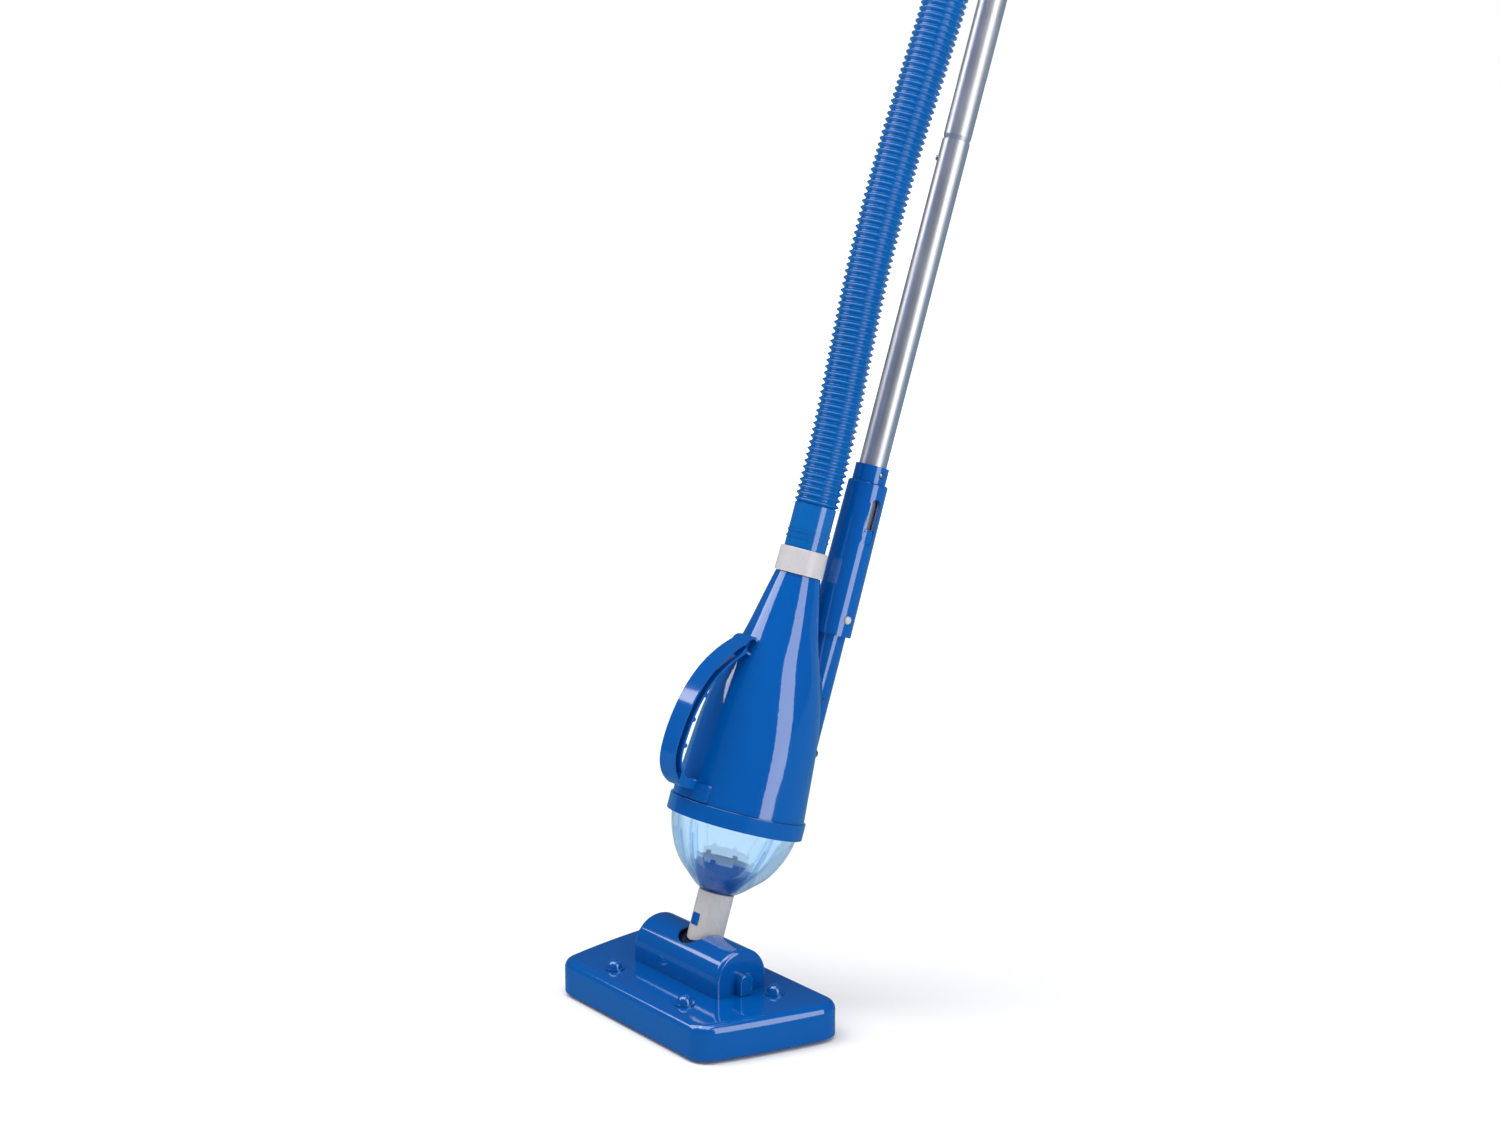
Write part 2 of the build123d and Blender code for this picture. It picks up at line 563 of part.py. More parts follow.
with BuildPart() as dome_seal:
    add(ring(DOME_OUTLINE[-1][0], COLLAR_R - 3.2, DOME_TOP, DOME_TOP + 1.6))
write(dome_seal, "dome_seal", LEANED)

# ================================================================ COLLECTOR BODY
SKIRT_LOW = DOME_TOP + 1.6 + FREE
BODY_OUT = BODY_OUTLINE + [(BODY_TOP_R, BODY_TOP)]
body_outside = revolved(BODY_OUT, BODY_BOTTOM, BODY_TOP)
body_inside = revolved([(r - BODY_WALL, s) for r, s in BODY_OUT], BODY_BOTTOM, BODY_TOP)
# the pad that the handle's foot stands on
with BuildPart() as pad:
    add(ring(BODY_OUTLINE[0][0] - 4, PAD_R, PAD_LOW, PAD_HIGH))
    with BuildSketch(Plane.XZ.offset(30)):
        with Locations((0, (PAD_LOW + PAD_HIGH) / 2)):
            RectangleRounded(2 * PAD_HALF, PAD_HIGH - PAD_LOW, 2)
    extrude(amount=60, mode=Mode.INTERSECT)
foot_pad = pad.part
# ---------------------------------------------------------------- carrying handle
def beside(curve, gap, first, last, count=8):
    """Points evenly spaced along a flat curve from first to last, gap to its right."""
    places = [first + (last - first) * step / (count - 1) for step in range(count)]
    return [curve @ place + gap * Vector((curve % place).Y, -(curve % place).X) for place in places]


with BuildPart() as handle_bar:
    with BuildSketch(Plane.YZ.offset(-HANDLE_WIDE / 2)):
        with BuildLine():
            outside = Spline(*HANDLE_OUTSIDE)
            inside = Spline(*HANDLE_INSIDE)
            Polyline(outside @ 1, HANDLE_EYE, inside @ 0)
            Polyline(inside @ 1, (FOOT_END_Y, FOOT_HIGH), (FOOT_END_Y, FOOT_LOW), outside @ 0)
        make_face()
        with Locations(HANDLE_EYE):
            Circle(HANDLE_EYE_R)
        with Locations(*GRIP_RIDGES):
            Circle(2.4)
    extrude(amount=HANDLE_WIDE)
    # each side is hollowed to a channel, which leaves a rim and a web
    recess = (HANDLE_WIDE - HANDLE_WEB) / 2
    for start in (-HANDLE_WIDE / 2, HANDLE_WEB / 2):
        with BuildSketch(Plane.YZ.offset(start)):
            with BuildLine():
                outer_rim = Spline(*beside(outside, HANDLE_RIM, 0.05, 0.96))
                inner_rim = Spline(*beside(inside, HANDLE_RIM, 0.04, 0.94))
                Line(outer_rim @ 1, inner_rim @ 0)
                Line(inner_rim @ 1, outer_rim @ 0)
            make_face()
            with Locations(HANDLE_EYE):
                Circle(HANDLE_EYE_R - HANDLE_RIM)
        extrude(amount=recess, mode=Mode.SUBTRACT)
    add(body_outside, mode=Mode.SUBTRACT)
    with BuildSketch(Plane.XY.offset(PAD_LOW)):
        Circle(PAD_R)
    extrude(amount=PAD_HIGH - PAD_LOW, mode=Mode.SUBTRACT)
write(handle_bar, "handle", LEANED)

# ---------------------------------------------------------------- body shell
SADDLE_SCREWS = [(x, s) for x in (-20.5, 20.5) for s in (SADDLE_LOW + 12, SADDLE_HIGH - 22)]
HANDLE_SCREWS = [170.0, 309.0]
# how far out the screws' heads sit, against the inside of the wall
SCREW_SEATS = [outline_radius(BODY_OUT, s + SCREW_HEAD_R) - BODY_WALL - 0.25 for s in HANDLE_SCREWS]
with BuildPart() as body_shell:
    add(body_outside)
    add(foot_pad)
    add(body_inside, mode=Mode.SUBTRACT)
    add(ring(COLLAR_R - 5.4, COLLAR_R - 2.6, SKIRT_LOW, BODY_BOTTOM + 1.0))
    # the spigot that the hose cuff stands on
    add(ring(HOSE_BORE - 1.5, SPIGOT_R, BODY_TOP - 3, NUT_HIGH - 5))
    with BuildSketch(Plane.XY.offset(BODY_TOP - 12)):
        Circle(HOSE_BORE - 1.5)
    extrude(amount=40, mode=Mode.SUBTRACT)
    for s in HANDLE_SCREWS:
        with BuildSketch(Plane.XZ.offset(20)):
            with Locations((0, s)):
                Circle(SCREW_R + SEATED)
        extrude(amount=60, mode=Mode.SUBTRACT)
    with BuildSketch(Plane.XZ.offset(-20)):
        with Locations(*SADDLE_SCREWS):
            Circle(SCREW_R + SEATED)
    extrude(amount=-60, mode=Mode.SUBTRACT)
write(body_shell, "body_shell", LEANED)

# ---------------------------------------------------------------- screws from inside into the handle
with BuildPart() as handle_screws:
    for s, inside_r in zip(HANDLE_SCREWS, SCREW_SEATS):
        with BuildSketch(Plane.XZ.offset(inside_r - SCREW_HEAD_T)):
            with Locations((0, s)):
                Circle(SCREW_HEAD_R)
        extrude(amount=SCREW_HEAD_T)
        with BuildSketch(Plane.XZ.offset(inside_r)):
            with Locations((0, s)):
                Circle(SCREW_R)
        extrude(amount=9)
write(handle_screws, "handle_screws", LEANED)

# ---------------------------------------------------------------- strainer inside the body
CAGE_OUT = [(r - BODY_WALL - 6, s) for r, s in BODY_OUTLINE[:6]]
CAGE_LOW, CAGE_HIGH = 160.0, 321.0
cage_block = revolved(CAGE_OUT, CAGE_OUT[0][1], CAGE_HIGH)
cage_core = revolved([(r - 2.4, s) for r, s in CAGE_OUT], CAGE_OUT[0][1], CAGE_HIGH)
cage_mesh_core = revolved([(r - 1.0, s) for r, s in CAGE_OUT], CAGE_OUT[0][1], CAGE_HIGH)
with BuildPart() as strainer_cage:
    add(cage_block)
    add(cage_core, mode=Mode.SUBTRACT)
    with BuildSketch(Plane.XY.offset(CAGE_LOW)):
        with PolarLocations(0, 6):
            Rectangle(200, 4)
    extrude(amount=CAGE_HIGH - CAGE_LOW, mode=Mode.INTERSECT)
    add(ring(CAGE_OUT[0][0] - 3, BODY_OUTLINE[0][0] - BODY_WALL - 0.6, CAGE_LOW - 3, CAGE_LOW))
    add(ring(10, CAGE_OUT[-1][0], CAGE_HIGH, CAGE_HIGH + 2.4))
write(strainer_cage, "strainer_cage", LEANED)

with BuildPart() as strainer_mesh:
    add(cage_core)
    add(revolved([(r - 3.2, s) for r, s in CAGE_OUT], CAGE_OUT[0][1], CAGE_HIGH), mode=Mode.SUBTRACT)
    with BuildSketch(Plane.XY.offset(BODY_BOTTOM - 1)):
        Circle(80)
    extrude(amount=CAGE_LOW - BODY_BOTTOM + 1, mode=Mode.SUBTRACT)
write(strainer_mesh, "strainer_mesh", LEANED)

# ================================================================ POLE STUB AND SLEEVE
saddle_shell = revolved([(r + SADDLE_T, s) for r, s in BODY_OUT], BODY_BOTTOM, BODY_TOP)


def pole_rod(radius, low, high):
    """A plain cylinder on the pole's axis."""
    with BuildPart() as made:
        with BuildSketch(Plane.XY.offset(low)):
            with Locations((0, POLE_OFFSET)):
                Circle(radius)
        extrude(amount=high - low)
    return made.part


def button_rod(radius, reach, tip, s, turn=0.0):
    """A round pin across the pole, from reach to tip out from its axis, with a domed tip."""
    with BuildPart() as made:
        with BuildSketch(Plane.YZ.offset(reach)):
            Circle(radius)
        extrude(amount=tip - reach)
        fillet(edges().group_by(Axis.X)[-1], radius * 0.55)
    return made.part.moved(Location((0, POLE_OFFSET, s), (0, 0, turn)))


with BuildPart() as saddle:
    add(saddle_shell)
    with BuildSketch(Plane.XZ.offset(-30)):
        with Locations((0, (SADDLE_LOW + SADDLE_HIGH) / 2)):
            RectangleRounded(2 * SADDLE_HALF, SADDLE_HIGH - SADDLE_LOW, 8)
    extrude(amount=-60, mode=Mode.INTERSECT)



def saddle_seat(x, s):
    """Where the head of a saddle screw seats, out from the tool's axis."""
    return ((outline_radius(BODY_OUT, s) + SADDLE_T) ** 2 - x**2) ** 0.5 - 0.8


with BuildPart() as pole_stub:
    add(pole_rod(STUB_R, STUB_LOW, STUB_TOP))
    fillet(faces().sort_by(Axis.Z)[0].edges(), 6)
    add(saddle.part)
    add(pole_rod(STUB_R - STUB_WALL, SADDLE_HIGH + 20, STUB_TOP), mode=Mode.SUBTRACT)
    add(button_rod(BUTTON_BIG_R + SLIDING, 0, STUB_R + 4, STUB_BUTTON_S), mode=Mode.SUBTRACT)
    add(body_outside, mode=Mode.SUBTRACT)
    with BuildSketch(Plane.XZ.offset(-20)):
        with Locations(*SADDLE_SCREWS):
            Circle(SCREW_R + SEATED)
    extrude(amount=-60, mode=Mode.SUBTRACT)
    for x, s in SADDLE_SCREWS:
        with BuildSketch(Plane.XZ.offset(-saddle_seat(x, s))):
            with Locations((x, s)):
                Circle(SCREW_HEAD_R + 0.2)
        extrude(amount=-8, mode=Mode.SUBTRACT)
write(pole_stub, "pole_stub", LEANED)

with BuildPart() as stub_screws:
    for x, s in SADDLE_SCREWS:
        with BuildSketch(Plane.XZ.offset(8 - saddle_seat(x, s))):
            with Locations((x, s)):
                Circle(SCREW_R)
        extrude(amount=-8)
        with BuildSketch(Plane.XZ.offset(-saddle_seat(x, s))):
            with Locations((x, s)):
                Circle(SCREW_HEAD_R)
        extrude(amount=-SCREW_HEAD_T)
write(stub_screws, "stub_screws", LEANED)

with BuildPart() as pole_sleeve:
    with BuildSketch(Plane.XY.offset(SLEEVE_LOW)):
        with Locations((0, POLE_OFFSET)):
            Circle(SLEEVE_R_LOW)
    with BuildSketch(Plane.XY.offset(SLEEVE_HIGH)):
        with Locations((0, POLE_OFFSET)):
            Circle(SLEEVE_R_HIGH)
    loft()
    chamfer(faces().sort_by(Axis.Z)[-1].edges(), 1.2)
    add(pole_rod(NECKING_R, SLEEVE_HIGH, NECKING_TOP))
    add(pole_rod(STUB_R + SEATED, SLEEVE_LOW, STUB_TOP + 2), mode=Mode.SUBTRACT)
    add(pole_rod(POLE_R + SEATED, STUB_TOP, NECKING_TOP), mode=Mode.SUBTRACT)
    # wider along the slit, for the slider's flange
    add(pole_rod(POLE_R + FLANGE_ROOM, SLIT_LOW - 2, SLIT_HIGH + 2), mode=Mode.SUBTRACT)
    with BuildSketch(Plane.YZ.offset(8)):
        with Locations((POLE_OFFSET, (SLIT_LOW + SLIT_HIGH) / 2)):
            SlotOverall(SLIT_HIGH - SLIT_LOW, SLIT_WIDE, rotation=90)
    extrude(amount=20, mode=Mode.SUBTRACT)
    add(button_rod(BUTTON_BIG_R + SLIDING, 8, SLEEVE_R_LOW + 4, STUB_BUTTON_S), mode=Mode.SUBTRACT)
    add(button_rod(BUTTON_SMALL_R + SLIDING, 8, NECKING_R + 4, SLEEVE_BUTTON_S), mode=Mode.SUBTRACT)
write(pole_sleeve, "pole_sleeve", LEANED)

with BuildPart() as flange:
    with BuildSketch(Plane.YZ.offset(8)):
        with Locations((POLE_OFFSET, SLIT_LOW + SLIDER_LONG / 2 + 0.4)):
            Rectangle(SLIT_WIDE + 3, SLIDER_LONG)
    extrude(amount=12)
    add(pole_rod(POLE_R + FLANGE_ROOM - FREE, SLIT_LOW, SLIT_LOW + SLIDER_LONG + 1), mode=Mode.INTERSECT)
slider_flange = flange.part

with BuildPart() as sleeve_slider:
    SLIDER_MID = SLIT_LOW + SLIDER_LONG / 2 + 0.4
    with BuildSketch(Plane.YZ.offset(10)):
        with Locations((POLE_OFFSET, SLIDER_MID)):
            SlotOverall(SLIDER_LONG, SLIT_WIDE - 2 * SLIDING, rotation=90)
    extrude(amount=12)
    add(pole_rod(SLIDER_FACE_R, SLIT_LOW, SLIT_LOW + SLIDER_LONG + 1), mode=Mode.INTERSECT)
    add(slider_flange)
    add(pole_rod(POLE_R + FREE, SLIT_LOW - 5, SLIT_HIGH + 5), mode=Mode.SUBTRACT)
write(sleeve_slider, "sleeve_slider", LEANED)

with BuildPart() as stub_button:
    add(button_rod(BUTTON_BIG_R, 9.0, SLEEVE_R_LOW + 2.4, STUB_BUTTON_S))
write(stub_button, "stub_button", LEANED)

with BuildPart() as sleeve_button:
    add(button_rod(BUTTON_SMALL_R, 8.0, NECKING_R + 0.9, SLEEVE_BUTTON_S))
write(sleeve_button, "sleeve_button", LEANED)

# ================================================================ POLE
JOINS = {"pole_button_lower": JOIN_LOW - JOIN_BUTTON_BELOW, "pole_button_upper": JOIN_HIGH - JOIN_BUTTON_BELOW}
INSERT_R = POLE_BORE - SEATED


def pole_section(low, high, swaged, holes):
    """One length of pole. A swaged one narrows at its foot to plug into the length below."""
    with BuildPart() as section:
        if swaged:
            start = low + SHOULDER
            add(pole_rod(INSERT_R, low - INSERT_LONG, low))
            with BuildSketch(Plane.XY.offset(low)):
                with Locations((0, POLE_OFFSET)):
                    Circle(INSERT_R)
            with BuildSketch(Plane.XY.offset(start)):
                with Locations((0, POLE_OFFSET)):
                    Circle(POLE_R)
            loft()
            add(pole_rod(POLE_R, start, high))
            add(pole_rod(INSERT_R - POLE_WALL, low - INSERT_LONG, start), mode=Mode.SUBTRACT)
            add(pole_rod(POLE_BORE, start, high), mode=Mode.SUBTRACT)
        else:
            add(pole_rod(POLE_R, low, high))
            add(pole_rod(POLE_BORE, low, high), mode=Mode.SUBTRACT)
        for s, turn in holes:
            add(button_rod(BUTTON_SMALL_R + SLIDING, 6, POLE_R + 4, s, turn), mode=Mode.SUBTRACT)
    return section


lower_join = (JOINS["pole_button_lower"], JOIN_BUTTON_TURN)
upper_join = (JOINS["pole_button_upper"], JOIN_BUTTON_TURN)
pole_lower = pole_section(POLE_FOOT, JOIN_LOW, False, [(SLEEVE_BUTTON_S, 0), lower_join])
pole_middle = pole_section(JOIN_LOW, JOIN_HIGH, True, [lower_join, upper_join])
pole_upper = pole_section(JOIN_HIGH, POLE_END, True, [upper_join])
write(pole_lower, "pole_lower", LEANED)
write(pole_middle, "pole_middle", LEANED)
write(pole_upper, "pole_upper", LEANED)

for name, s in JOINS.items():
    with BuildPart() as pole_button:
        add(button_rod(BUTTON_SMALL_R, 7.0, POLE_R + 1.9, s, JOIN_BUTTON_TURN))
    write(pole_button, name, LEANED)

with BuildPart() as hand_grip:
    add(pole_rod(GRIP_R, GRIP_LOW, GRIP_TOP))
    fillet(edges().filter_by(GeomType.CIRCLE), 2.5)
    with BuildSketch(Plane.XZ.offset(-POLE_OFFSET - HANG_TAB_T / 2)):
        with Locations((0, GRIP_TOP + 9)):
            Circle(11)
        with Locations((0, GRIP_TOP)):
            Rectangle(22, 18)
        with Locations((0, GRIP_TOP + 9)):
            Circle(HANG_HOLE_R, mode=Mode.SUBTRACT)
    extrude(amount=HANG_TAB_T)
    add(pole_rod(POLE_R + SEATED, GRIP_LOW, POLE_END), mode=Mode.SUBTRACT)
write(hand_grip, "hand_grip", LEANED)

# ================================================================ HOSE
with BuildPart() as hose_nut:
    with BuildSketch(SIDE):
        with BuildLine():
            Polyline(
                (SPIGOT_R + FREE, NUT_LOW),
                (NUT_R + 0.6, NUT_LOW),
                (NUT_R, NUT_HIGH - 1.2),
                (NUT_R - 1.0, NUT_HIGH),
                (CUFF_R + FREE, NUT_HIGH),
                (CUFF_R + FREE, NUT_HIGH - 2.2),
                (SPIGOT_R + FREE, NUT_HIGH - 2.6),
                (SPIGOT_R + FREE, NUT_LOW),
            )
        make_face()
    revolve(axis=Axis.Z)
write(hose_nut, "hose_nut", LEANED)

with BuildPart() as cuff_seal:
    add(ring(HOSE_BORE - 1.5, SPIGOT_R - 0.4, NUT_HIGH - 5, NUT_HIGH - 3.8))
write(cuff_seal, "cuff_seal", LEANED)

with BuildPart() as hose_cuff:
    add(ring(HOSE_BORE - 1.0, CUFF_R, NUT_HIGH - 3.8, CUFF_TOP))
    for s in (423.5, 429.5):
        add(ring(HOSE_BORE, CUFF_R + 0.8, s, s + 2))
write(hose_cuff, "hose_cuff", LEANED)


def corner_radii(points):
    """For each corner, 0.45 of its shorter run over the tangent of half its turn."""
    radii = []
    for before, here, after in zip(points, points[1:], points[2:]):
        run_in, run_out = Vector(*here) - Vector(*before), Vector(*after) - Vector(*here)
        turn = radians(run_in.get_angle(run_out))
        radii.append(0.45 * min(run_in.length, run_out.length) / tan(turn / 2))
    return radii


radii = corner_radii(HOSE_ROUTE)
print("hose radii", [round(r) for r in radii])
with BuildPart() as hose:
    with BuildLine() as hose_line:
        FilletPolyline(*HOSE_ROUTE, radius=radii)
    with BuildSketch(Plane.XY.offset(HOSE_ROUTE[0][2])):
        Circle(HOSE_R)
        Circle(HOSE_R - HOSE_WALL, mode=Mode.SUBTRACT)
    sweep(path=hose_line.wires()[0])
HOSE_LONG = hose_line.wires()[0].length
section = pi * (HOSE_R**2 - (HOSE_R - HOSE_WALL) ** 2)
print("hose", round(HOSE_LONG, 1), "mm; volume over section x length", hose.part.volume / section / HOSE_LONG)
write(hose, "hose", LEANED)

HOSE_END = HOSE_ROUTE[-1][2]
with BuildPart() as hose_end_cuff:
    add(ring(HOSE_R + SEATED, END_CUFF_R + 0.6, HOSE_END - 16, HOSE_END))
    add(ring(HOSE_BORE, END_CUFF_R, HOSE_END, HOSE_END + END_CUFF_LONG - 16))
    for s in (HOSE_END + 4, HOSE_END + END_CUFF_LONG - 19):
        add(ring(HOSE_BORE, END_CUFF_R + 0.8, s, s + 3))
write(hose_end_cuff, "hose_end_cuff", LEANED)

for name, s in (("hose_clip_lower", CLIP_LOW_S), ("hose_clip_upper", CLIP_HIGH_S)):
    with BuildPart() as hose_clip:
        with BuildSketch(Plane.XY.offset(s - CLIP_TALL / 2)):
            Circle(HOSE_R + FREE + CLIP_WALL)
            with Locations((0, POLE_OFFSET)):
                Circle(POLE_R + CLIP_WALL + SEATED)
            with Locations((0, (HOSE_R + POLE_OFFSET - POLE_R) / 2)):
                Rectangle(9, POLE_OFFSET - POLE_R - HOSE_R)
            Circle(HOSE_R + FREE, mode=Mode.SUBTRACT)
            with Locations((0, POLE_OFFSET)):
                Circle(POLE_R + SEATED, mode=Mode.SUBTRACT)
            # both rings are open, so that they snap on
            with Locations((0, -HOSE_R)):
                Rectangle(2 * HOSE_R * 0.72, HOSE_R, mode=Mode.SUBTRACT)
            with Locations((0, POLE_OFFSET + POLE_R)):
                Rectangle(2 * POLE_R * 0.7, POLE_R, mode=Mode.SUBTRACT)
        extrude(amount=CLIP_TALL)
    write(hose_clip, name, LEANED)
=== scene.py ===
"""Pool cleaner: finishes, hose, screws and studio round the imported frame, laid out as a Blender add-on."""

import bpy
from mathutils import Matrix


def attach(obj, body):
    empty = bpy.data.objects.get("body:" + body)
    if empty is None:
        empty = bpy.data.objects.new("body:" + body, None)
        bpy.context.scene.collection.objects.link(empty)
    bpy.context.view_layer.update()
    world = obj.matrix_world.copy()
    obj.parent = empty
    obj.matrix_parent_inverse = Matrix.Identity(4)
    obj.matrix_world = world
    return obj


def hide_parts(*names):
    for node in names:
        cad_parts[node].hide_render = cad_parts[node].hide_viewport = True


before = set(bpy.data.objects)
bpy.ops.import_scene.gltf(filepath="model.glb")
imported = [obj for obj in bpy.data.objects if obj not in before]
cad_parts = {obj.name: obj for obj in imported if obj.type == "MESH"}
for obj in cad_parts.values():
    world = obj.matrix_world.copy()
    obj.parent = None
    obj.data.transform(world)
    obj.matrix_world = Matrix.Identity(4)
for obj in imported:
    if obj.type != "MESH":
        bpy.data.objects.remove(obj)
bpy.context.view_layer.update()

from math import cos, pi, radians, sin

import bmesh
import bpy
from bpy.props import FloatProperty, FloatVectorProperty, IntProperty, PointerProperty
from mathutils import Matrix, Vector

bl_info = {
    "name": "Pool Cleaner Maker",
    "version": (1, 0, 0),
    "blender": (4, 5, 0),
    "location": "3D View > Sidebar > Pool Cleaner",
    "description": "Dresses a pool cleaner's frame in moulded plastic, tube, hose and clear dome",
    "category": "Object",
}

# ---------------------------------------------------------------- the tool's own line
LEAN = radians(18.2)  # the tool leans back from upright
SWIVEL_Z = 50.3  # mm above the floor
RIB_PLANES = (0.0, 80.5, 99.5)  # degrees about the tool's axis, each with a rib at both of its ends
HOSE_ROUTE = [
    (0.0, 0.0, 458.0),
    (0.0, 0.0, 528.0),
    (-1.0, -5.0, 612.0),
    (-2.5, -9.5, 700.0),
    (-2.5, -9.0, 800.0),
    (-1.0, -4.0, 900.0),
    (0.0, 0.0, 980.0),
    (0.0, 0.0, 1075.0),
    (0.5, -2.5, 1160.0),
    (0.5, -2.0, 1250.0),
    (0.0, 0.0, 1320.0),
    (0.0, 0.0, 1408.0),
]
RINGS_PER_RIDGE = 10
HOSE_SIDES = 36
SCREW_TURN_FIRST, SCREW_TURN_STEP = 0.3, 0.7  # radians, so that no two slots line up
BASE_HEAD_TALL, SADDLE_HEAD_TALL = 0.0011, 0.0022
HEAD_PROUD = 0.0002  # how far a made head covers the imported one
COLOUR_A, COLOUR_B, COLOUR_OUT = 6, 7, 2  # a colour Mix node's sockets, whose labels repeat
TOOL_TURN = Matrix.Rotation(-LEAN, 4, "X")
TOOL_FRAME = Matrix.Translation((0, 0, SWIVEL_Z / 1000)) @ TOOL_TURN


def leaned(x, y, s):
    """A point beside the tool's axis, in millimetres up the tool, as metres in the shared frame."""
    return TOOL_FRAME @ Vector((x / 1000, y / 1000, s / 1000))


# ---------------------------------------------------------------- which nodes take which finish
BLUE_MOULDINGS = (
    "head_shell", "base_plate", "suction_duct", "axle_cap_left", "axle_cap_right", "post_caps",
    "wheel_forks", "inlet_cup", "neck_latch", "dome_collar", "body_shell", "handle", "pole_stub",
    "pole_sleeve", "sleeve_slider", "hand_grip", "hose_clip_lower", "hose_clip_upper",
)
WHITE_MOULDINGS = ("strainer_cage", "stub_button", "hose_nut")
GREY_MOULDINGS = ("wheel_front_left", "wheel_front_right", "wheel_rear_left", "wheel_rear_right")
RUBBER_PARTS = ("drum_seals", "check_flap", "spigot_seal", "dome_seal", "cuff_seal")
HOSE_MOULDINGS = ("hose_cuff", "hose_end_cuff")
POLE_TUBES = ("pole_lower", "pole_middle", "pole_upper")
STEEL_PARTS = (
    "ballast_bars", "wheel_axles", "flap_pin", "handle_screws", "sleeve_button",
    "pole_button_lower", "pole_button_upper",
)


# ================================================================ SETTINGS
class PoolCleanerSizes(bpy.types.PropertyGroup):
    hose_radius: FloatProperty(
        name="Hose radius", description="Out to the ridges' tops", default=0.0223, unit="LENGTH"
    )
    ridge_depth: FloatProperty(
        name="Ridge depth", description="From a ridge's top to the valley", default=0.0033, unit="LENGTH"
    )
    ridge_pitch: FloatProperty(
        name="Ridge pitch", description="From one ridge to the next", default=0.0063, unit="LENGTH"
    )
    hose_length: FloatProperty(
        name="Hose length", description="Ribbed part, cuff to cuff", default=0.9505, unit="LENGTH"
    )
    screw_head: FloatProperty(
        name="Screw head radius", description="Pan head, out to its rim", default=0.0036, unit="LENGTH"
    )
    screw_sides: IntProperty(name="Screw facets", description="Round each screw's head", default=24)


class PoolCleanerColours(bpy.types.PropertyGroup):
    shell_blue: FloatVectorProperty(
        name="Shell blue", description="Gloss mouldings", subtype="COLOR", size=3, default=(0.0, 0.085, 0.36)
    )
    hose_blue: FloatVectorProperty(
        name="Hose blue", description="Ribbed hose and cuffs", subtype="COLOR", size=3,
        default=(0.0, 0.105, 0.38),
    )
    off_white: FloatVectorProperty(
        name="Off-white", description="Neck, nut and buttons", subtype="COLOR", size=3,
        default=(0.50, 0.485, 0.50),
    )
    dome_tint: FloatVectorProperty(
        name="Dome tint", description="Clear dome", subtype="COLOR", size=3, default=(0.52, 0.76, 0.97)
    )
    tube: FloatVectorProperty(
        name="Tube", description="Satin aluminium", subtype="COLOR", size=3, default=(0.68, 0.675, 0.71)
    )
    wheel_grey: FloatVectorProperty(
        name="Wheel grey", description="Wheels", subtype="COLOR", size=3, default=(0.075, 0.08, 0.09)
    )
    floor: FloatVectorProperty(
        name="Floor", description="Studio floor", subtype="COLOR", size=3, default=(0.93, 0.93, 0.94)
    )


# ================================================================ FINISHES
def shader_tree(name):
    """A new material with only an output and a Principled shader."""
    material = bpy.data.materials.new(name)
    material.use_nodes = True
    tree = material.node_tree
    tree.nodes.clear()
    output = tree.nodes.new("ShaderNodeOutputMaterial")
    shader = tree.nodes.new("ShaderNodeBsdfPrincipled")
    tree.links.new(shader.outputs["BSDF"], output.inputs["Surface"])
    return material, tree, shader


def object_coords(tree, stretch=(1.0, 1.0, 1.0), turn=(0.0, 0.0, 0.0)):
    """Object coordinates in metres, turned and then stretched."""
    coords = tree.nodes.new("ShaderNodeTexCoord")
    turned = tree.nodes.new("ShaderNodeMapping")
    turned.inputs["Rotation"].default_value = turn
    scaled = tree.nodes.new("ShaderNodeMapping")
    scaled.inputs["Scale"].default_value = stretch
    tree.links.new(coords.outputs["Object"], turned.inputs["Vector"])
    tree.links.new(turned.outputs["Vector"], scaled.inputs["Vector"])
    return scaled.outputs["Vector"]


def noise(tree, vector, scale, detail=3.0, roughness=0.5):
    """Fractal noise, from 0 to 1."""
    node = tree.nodes.new("ShaderNodeTexNoise")
    node.inputs["Scale"].default_value = scale
    node.inputs["Detail"].default_value = detail
    node.inputs["Roughness"].default_value = roughness
    tree.links.new(vector, node.inputs["Vector"])
    return node.outputs["Fac"]


def ranged(tree, value, low, high, from_low=0.3, from_high=0.7):
    """A value mapped to the range from low to high."""
    node = tree.nodes.new("ShaderNodeMapRange")
    node.inputs["From Min"].default_value = from_low
    node.inputs["From Max"].default_value = from_high
    node.inputs["To Min"].default_value = low
    node.inputs["To Max"].default_value = high
    tree.links.new(value, node.inputs["Value"])
    return node.outputs["Result"]


def tinted(tree, value, dark, light):
    """A colour between dark and light as the value goes from 0.3 to 0.7."""
    node = tree.nodes.new("ShaderNodeValToRGB")
    node.color_ramp.elements[0].position, node.color_ramp.elements[1].position = 0.3, 0.7
    node.color_ramp.elements[0].color = (*dark, 1)
    node.color_ramp.elements[1].color = (*light, 1)
    tree.links.new(value, node.inputs["Fac"])
    return node.outputs["Color"]


def bumped(tree, shader, layers):
    """Stacks bumps on the shader: each layer is a height, its strength and its distance in metres."""
    normal = None
    for height, strength, distance in layers:
        node = tree.nodes.new("ShaderNodeBump")
        node.inputs["Strength"].default_value = strength
        node.inputs["Distance"].default_value = distance
        tree.links.new(height, node.inputs["Height"])
        if normal is not None:
            tree.links.new(normal, node.inputs["Normal"])
        normal = node.outputs["Normal"]
    tree.links.new(normal, shader.inputs["Normal"])


def shaded(colour, factor):
    """A colour made darker or lighter."""
    return tuple(min(1.0, channel * factor) for channel in colour)


